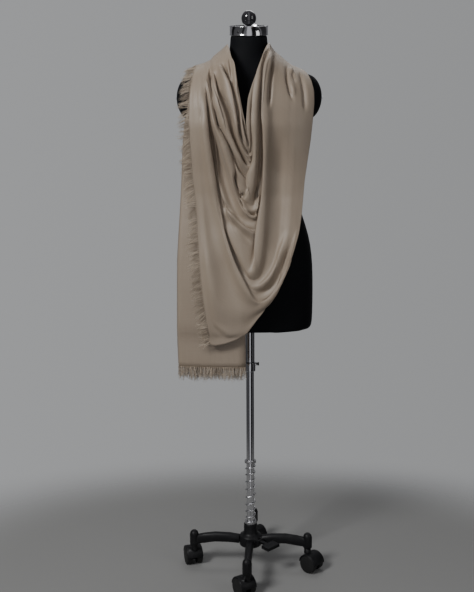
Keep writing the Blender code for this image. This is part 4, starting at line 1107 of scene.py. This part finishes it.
def yarnTufts(name, node, points, alongs, outs, side, spread, material):
    rng = random.Random(len(points))
    mesh = bpy.data.meshes.new(name)
    verts, faces, tones = [], [], []
    last = fringe["rings"] - 1
    for point, along, out in zip(points, alongs, outs):
        reach = fringe["length"] * rng.uniform(*fringe["tuftLength"])
        lean = rng.uniform(-1, 1) * spread
        aim = (out + along * lean).normalized()
        tuftTone = rng.uniform(*fringe["tuftTone"])
        for _ in range(fringe["yarnsATuft"]):
            stray = rng.uniform(-1, 1) * fringe["yarnSpread"]
            if rng.random() >= fringe["calmShare"]:
                stray *= fringe["wildSpread"]
            own = (aim + along * stray + side * rng.uniform(*fringe["ahead"])).normalized()
            curl = along.cross(own).normalized() * rng.uniform(*fringe["curl"])
            wave = own.cross(side).normalized() * rng.uniform(*fringe["wave"])
            droop = Vector((0, 0, -1)) * rng.uniform(*fringe["droop"])
            length = reach * rng.uniform(*fringe["yarnLength"])
            root = point + along * rng.uniform(-1, 1) * fringe["rootSpread"]
            root += side * fringe["rootAhead"] - own * fringe["rootInside"]
            bend = rng.uniform(*fringe["bend"])
            one = own.cross(side).normalized()
            two = own.cross(one).normalized()
            start = len(verts)
            for r in range(last + 1):
                t = r / last
                centre = root + own * ((length + fringe["rootInside"]) * t)
                centre += (curl + wave) * math.sin(bend * math.pi * t) * t
                centre += droop * t * t + side * (fringe["arch"] * math.sin(math.pi * t))
                centre = overTail(centre)
                radius = fringe["yarnRadius"] * (1 - fringe["yarnTaper"] * t)
                # painted shade: darker at the root, where the yarn starts under the cloth's edge,
                # lighter towards the tip
                tone = tuftTone * (fringe["rootShade"] * (1 - t) + fringe["endTone"] * t)
                for a in yarnCorners:
                    verts.append(centre + (one * math.cos(a) + two * math.sin(a)) * radius)
                    tones.append(min(1, tone))
            for r in range(last):
                for a in range(3):
                    b = (a + 1) % 3
                    low, high = start + 3 * r, start + 3 * r + 3
                    faces.append((low + a, low + b, high + b, high + a))
            end = start + 3 * last
            faces.append((start + 2, start + 1, start))
            faces.append((end, end + 1, end + 2))
    mesh.from_pydata([tuple(v) for v in verts], [], faces)
    toneLayer = mesh.attributes.new("yarnTone", "FLOAT", "POINT")
    toneLayer.data.foreach_set("value", np.array(tones, np.float32))
    mesh.materials.append(material)
    piece = bpy.data.objects.new(name, mesh)
    bpy.context.scene.collection.objects.link(piece)
    bpy.ops.object.select_all(action="DESELECT")
    piece.select_set(True)
    bpy.context.view_layer.objects.active = piece
    bpy.ops.object.mode_set(mode="EDIT")
    bpy.ops.mesh.select_all(action="SELECT")
    bpy.ops.mesh.normals_make_consistent(inside=False)
    bpy.ops.object.mode_set(mode="OBJECT")
    bpy.ops.object.shade_smooth()
    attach(piece, "form")
    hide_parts(node)
    return piece


def evenLine(line, step):
    line = np.array(line)
    run = np.concatenate(([0], np.cumsum(np.linalg.norm(np.diff(line, axis=0), axis=1))))
    count = int(run[-1] / step)
    at = (np.arange(count) + 0.5) * run[-1] / count
    return [Vector([np.interp(a, run, column) for column in line.T]) for a in at]


def alongLine(points):
    last = len(points) - 1
    return [(points[min(i + 1, last)] - points[max(i - 1, 0)]).normalized()
            for i in range(last + 1)]


def buildFringes(grid, tailGrid, material):
    edge = [p for p in grid[-1][:drape["cornerColumn"] + 1] if p[1] < fringe["edgeFrom"]]
    points = evenLine(edge, fringe["tuftStep"])
    alongs = alongLine(points)
    ahead = Vector((-0.25, -1, 0)).normalized()
    slant = fringe["edgeSlant"]
    outs = [(run.cross(ahead).normalized() + run * slant).normalized() for run in alongs]
    front = yarnTufts(
        "fringeFront", "fringe_front", points, alongs, outs, ahead, fringe["edgeLean"], material)
    hem = evenLine([line[-1] for line in tailGrid], fringe["tuftStep"])
    down = Vector((0, 0, -1))
    tail = yarnTufts(
        "fringeTail", "fringe_tail", hem, alongLine(hem), [down] * len(hem),
        Vector((0, -1, 0)), fringe["hemLean"], material)
    return front, tail


# hard pieces are smoothed copies of the solids
hardFinish = {
    "joined": 0.02 * mm,
    "flatRadians": 0.6,
    "squareRadians": 0.9,
    "bevelSteps": 2,
    "bevelDegrees": 38,
    "smoothDegrees": 35,
}
# how wide the rounded edges are, in millimetres
roundedEdges = {
    "hub": 1.2, "pedal": 1.6, "leg_front": 1.6, "leg_right": 1.6, "leg_back": 1.6,
    "leg_left": 1.6, "neck_band": 0.3, "collar": 0.5,
}
# how often a piece is divided
divided = {"arm_cap_left": 2, "arm_cap_right": 2, "finial": 2, "torso": 1}


def dressed(node, body, material):
    source = frame["nodes"][node]
    bpy.ops.object.select_all(action="DESELECT")
    mesh = source.data.copy()
    piece = bpy.data.objects.new(node + "Finished", mesh)
    bpy.context.scene.collection.objects.link(piece)
    piece.select_set(True)
    bpy.context.view_layer.objects.active = piece
    bpy.ops.object.mode_set(mode="EDIT")
    bpy.ops.mesh.select_all(action="SELECT")
    bpy.ops.mesh.remove_doubles(threshold=hardFinish["joined"])
    bpy.ops.mesh.tris_convert_to_quads(
        face_threshold=hardFinish["flatRadians"], shape_threshold=hardFinish["squareRadians"])
    bpy.ops.object.mode_set(mode="OBJECT")
    if node in roundedEdges:
        soft = piece.modifiers.new("soft", "BEVEL")
        soft.width = roundedEdges[node] * mm
        soft.segments = hardFinish["bevelSteps"]
        soft.limit_method = "ANGLE"
        soft.angle_limit = math.radians(hardFinish["bevelDegrees"])
        bpy.ops.object.modifier_apply(modifier="soft")
    if node in divided:
        fine = piece.modifiers.new("fine", "SUBSURF")
        fine.levels = divided[node]
        fine.render_levels = divided[node]
        bpy.ops.object.modifier_apply(modifier="fine")
    bpy.ops.object.shade_smooth_by_angle(angle=math.radians(hardFinish["smoothDegrees"]))
    piece.data.materials.clear()
    piece.data.materials.append(material)
    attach(piece, body)
    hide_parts(node)
    return piece


print("studio")
floor = buildStudio()
floor.data.materials.append(floorPaint())

print("materials")
shawlMaterial = weavePaint()
fringeMaterial = fringePaint()
# the material of each of the record's slots that only hard pieces have
finishes = {
    "jersey": jerseyPaint(),
    "chrome": metalPaint("chrome", chromeFinish),
    "spring_steel": metalPaint("springSteel", steelFinish),
    "dark_glass": glassPaint(),
    "black_plastic": plasticPaint("blackPlastic", plasticFinish),
    "caster_rubber": plasticPaint("casterRubber", rubberFinish),
}

print("shawl")
(front, frontArea), (back, backArea), (tail, tailArea), frontGrid, tailGrid = buildShawl(
    shawlMaterial)
fringeFront, fringeTail = buildFringes(frontGrid, tailGrid, fringeMaterial)
for piece, area, held, rests, parts in (
        (front, frontArea, "draped", ["torso", "shawlTail"], [fringeFront]),
        (back, backArea, "gathered", ["torso"], []),
        (tail, tailArea, "folded", ["torso"], [fringeTail])):
    area / drape["clothWidth"]

print("dress form and stand")
bodyOf = {n: b for b, names in frame["record"]["behaviour"]["bodies"].items() for n in names}
slotOf = {row["node"]: row["material_slot"] for row in frame["record"]["subparts"]}
for node in sorted(frame["nodes"]):
    if slotOf[node] in finishes:
        piece = dressed(node, bodyOf[node], finishes[slotOf[node]])
        if node == "spring":
            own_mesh(piece)
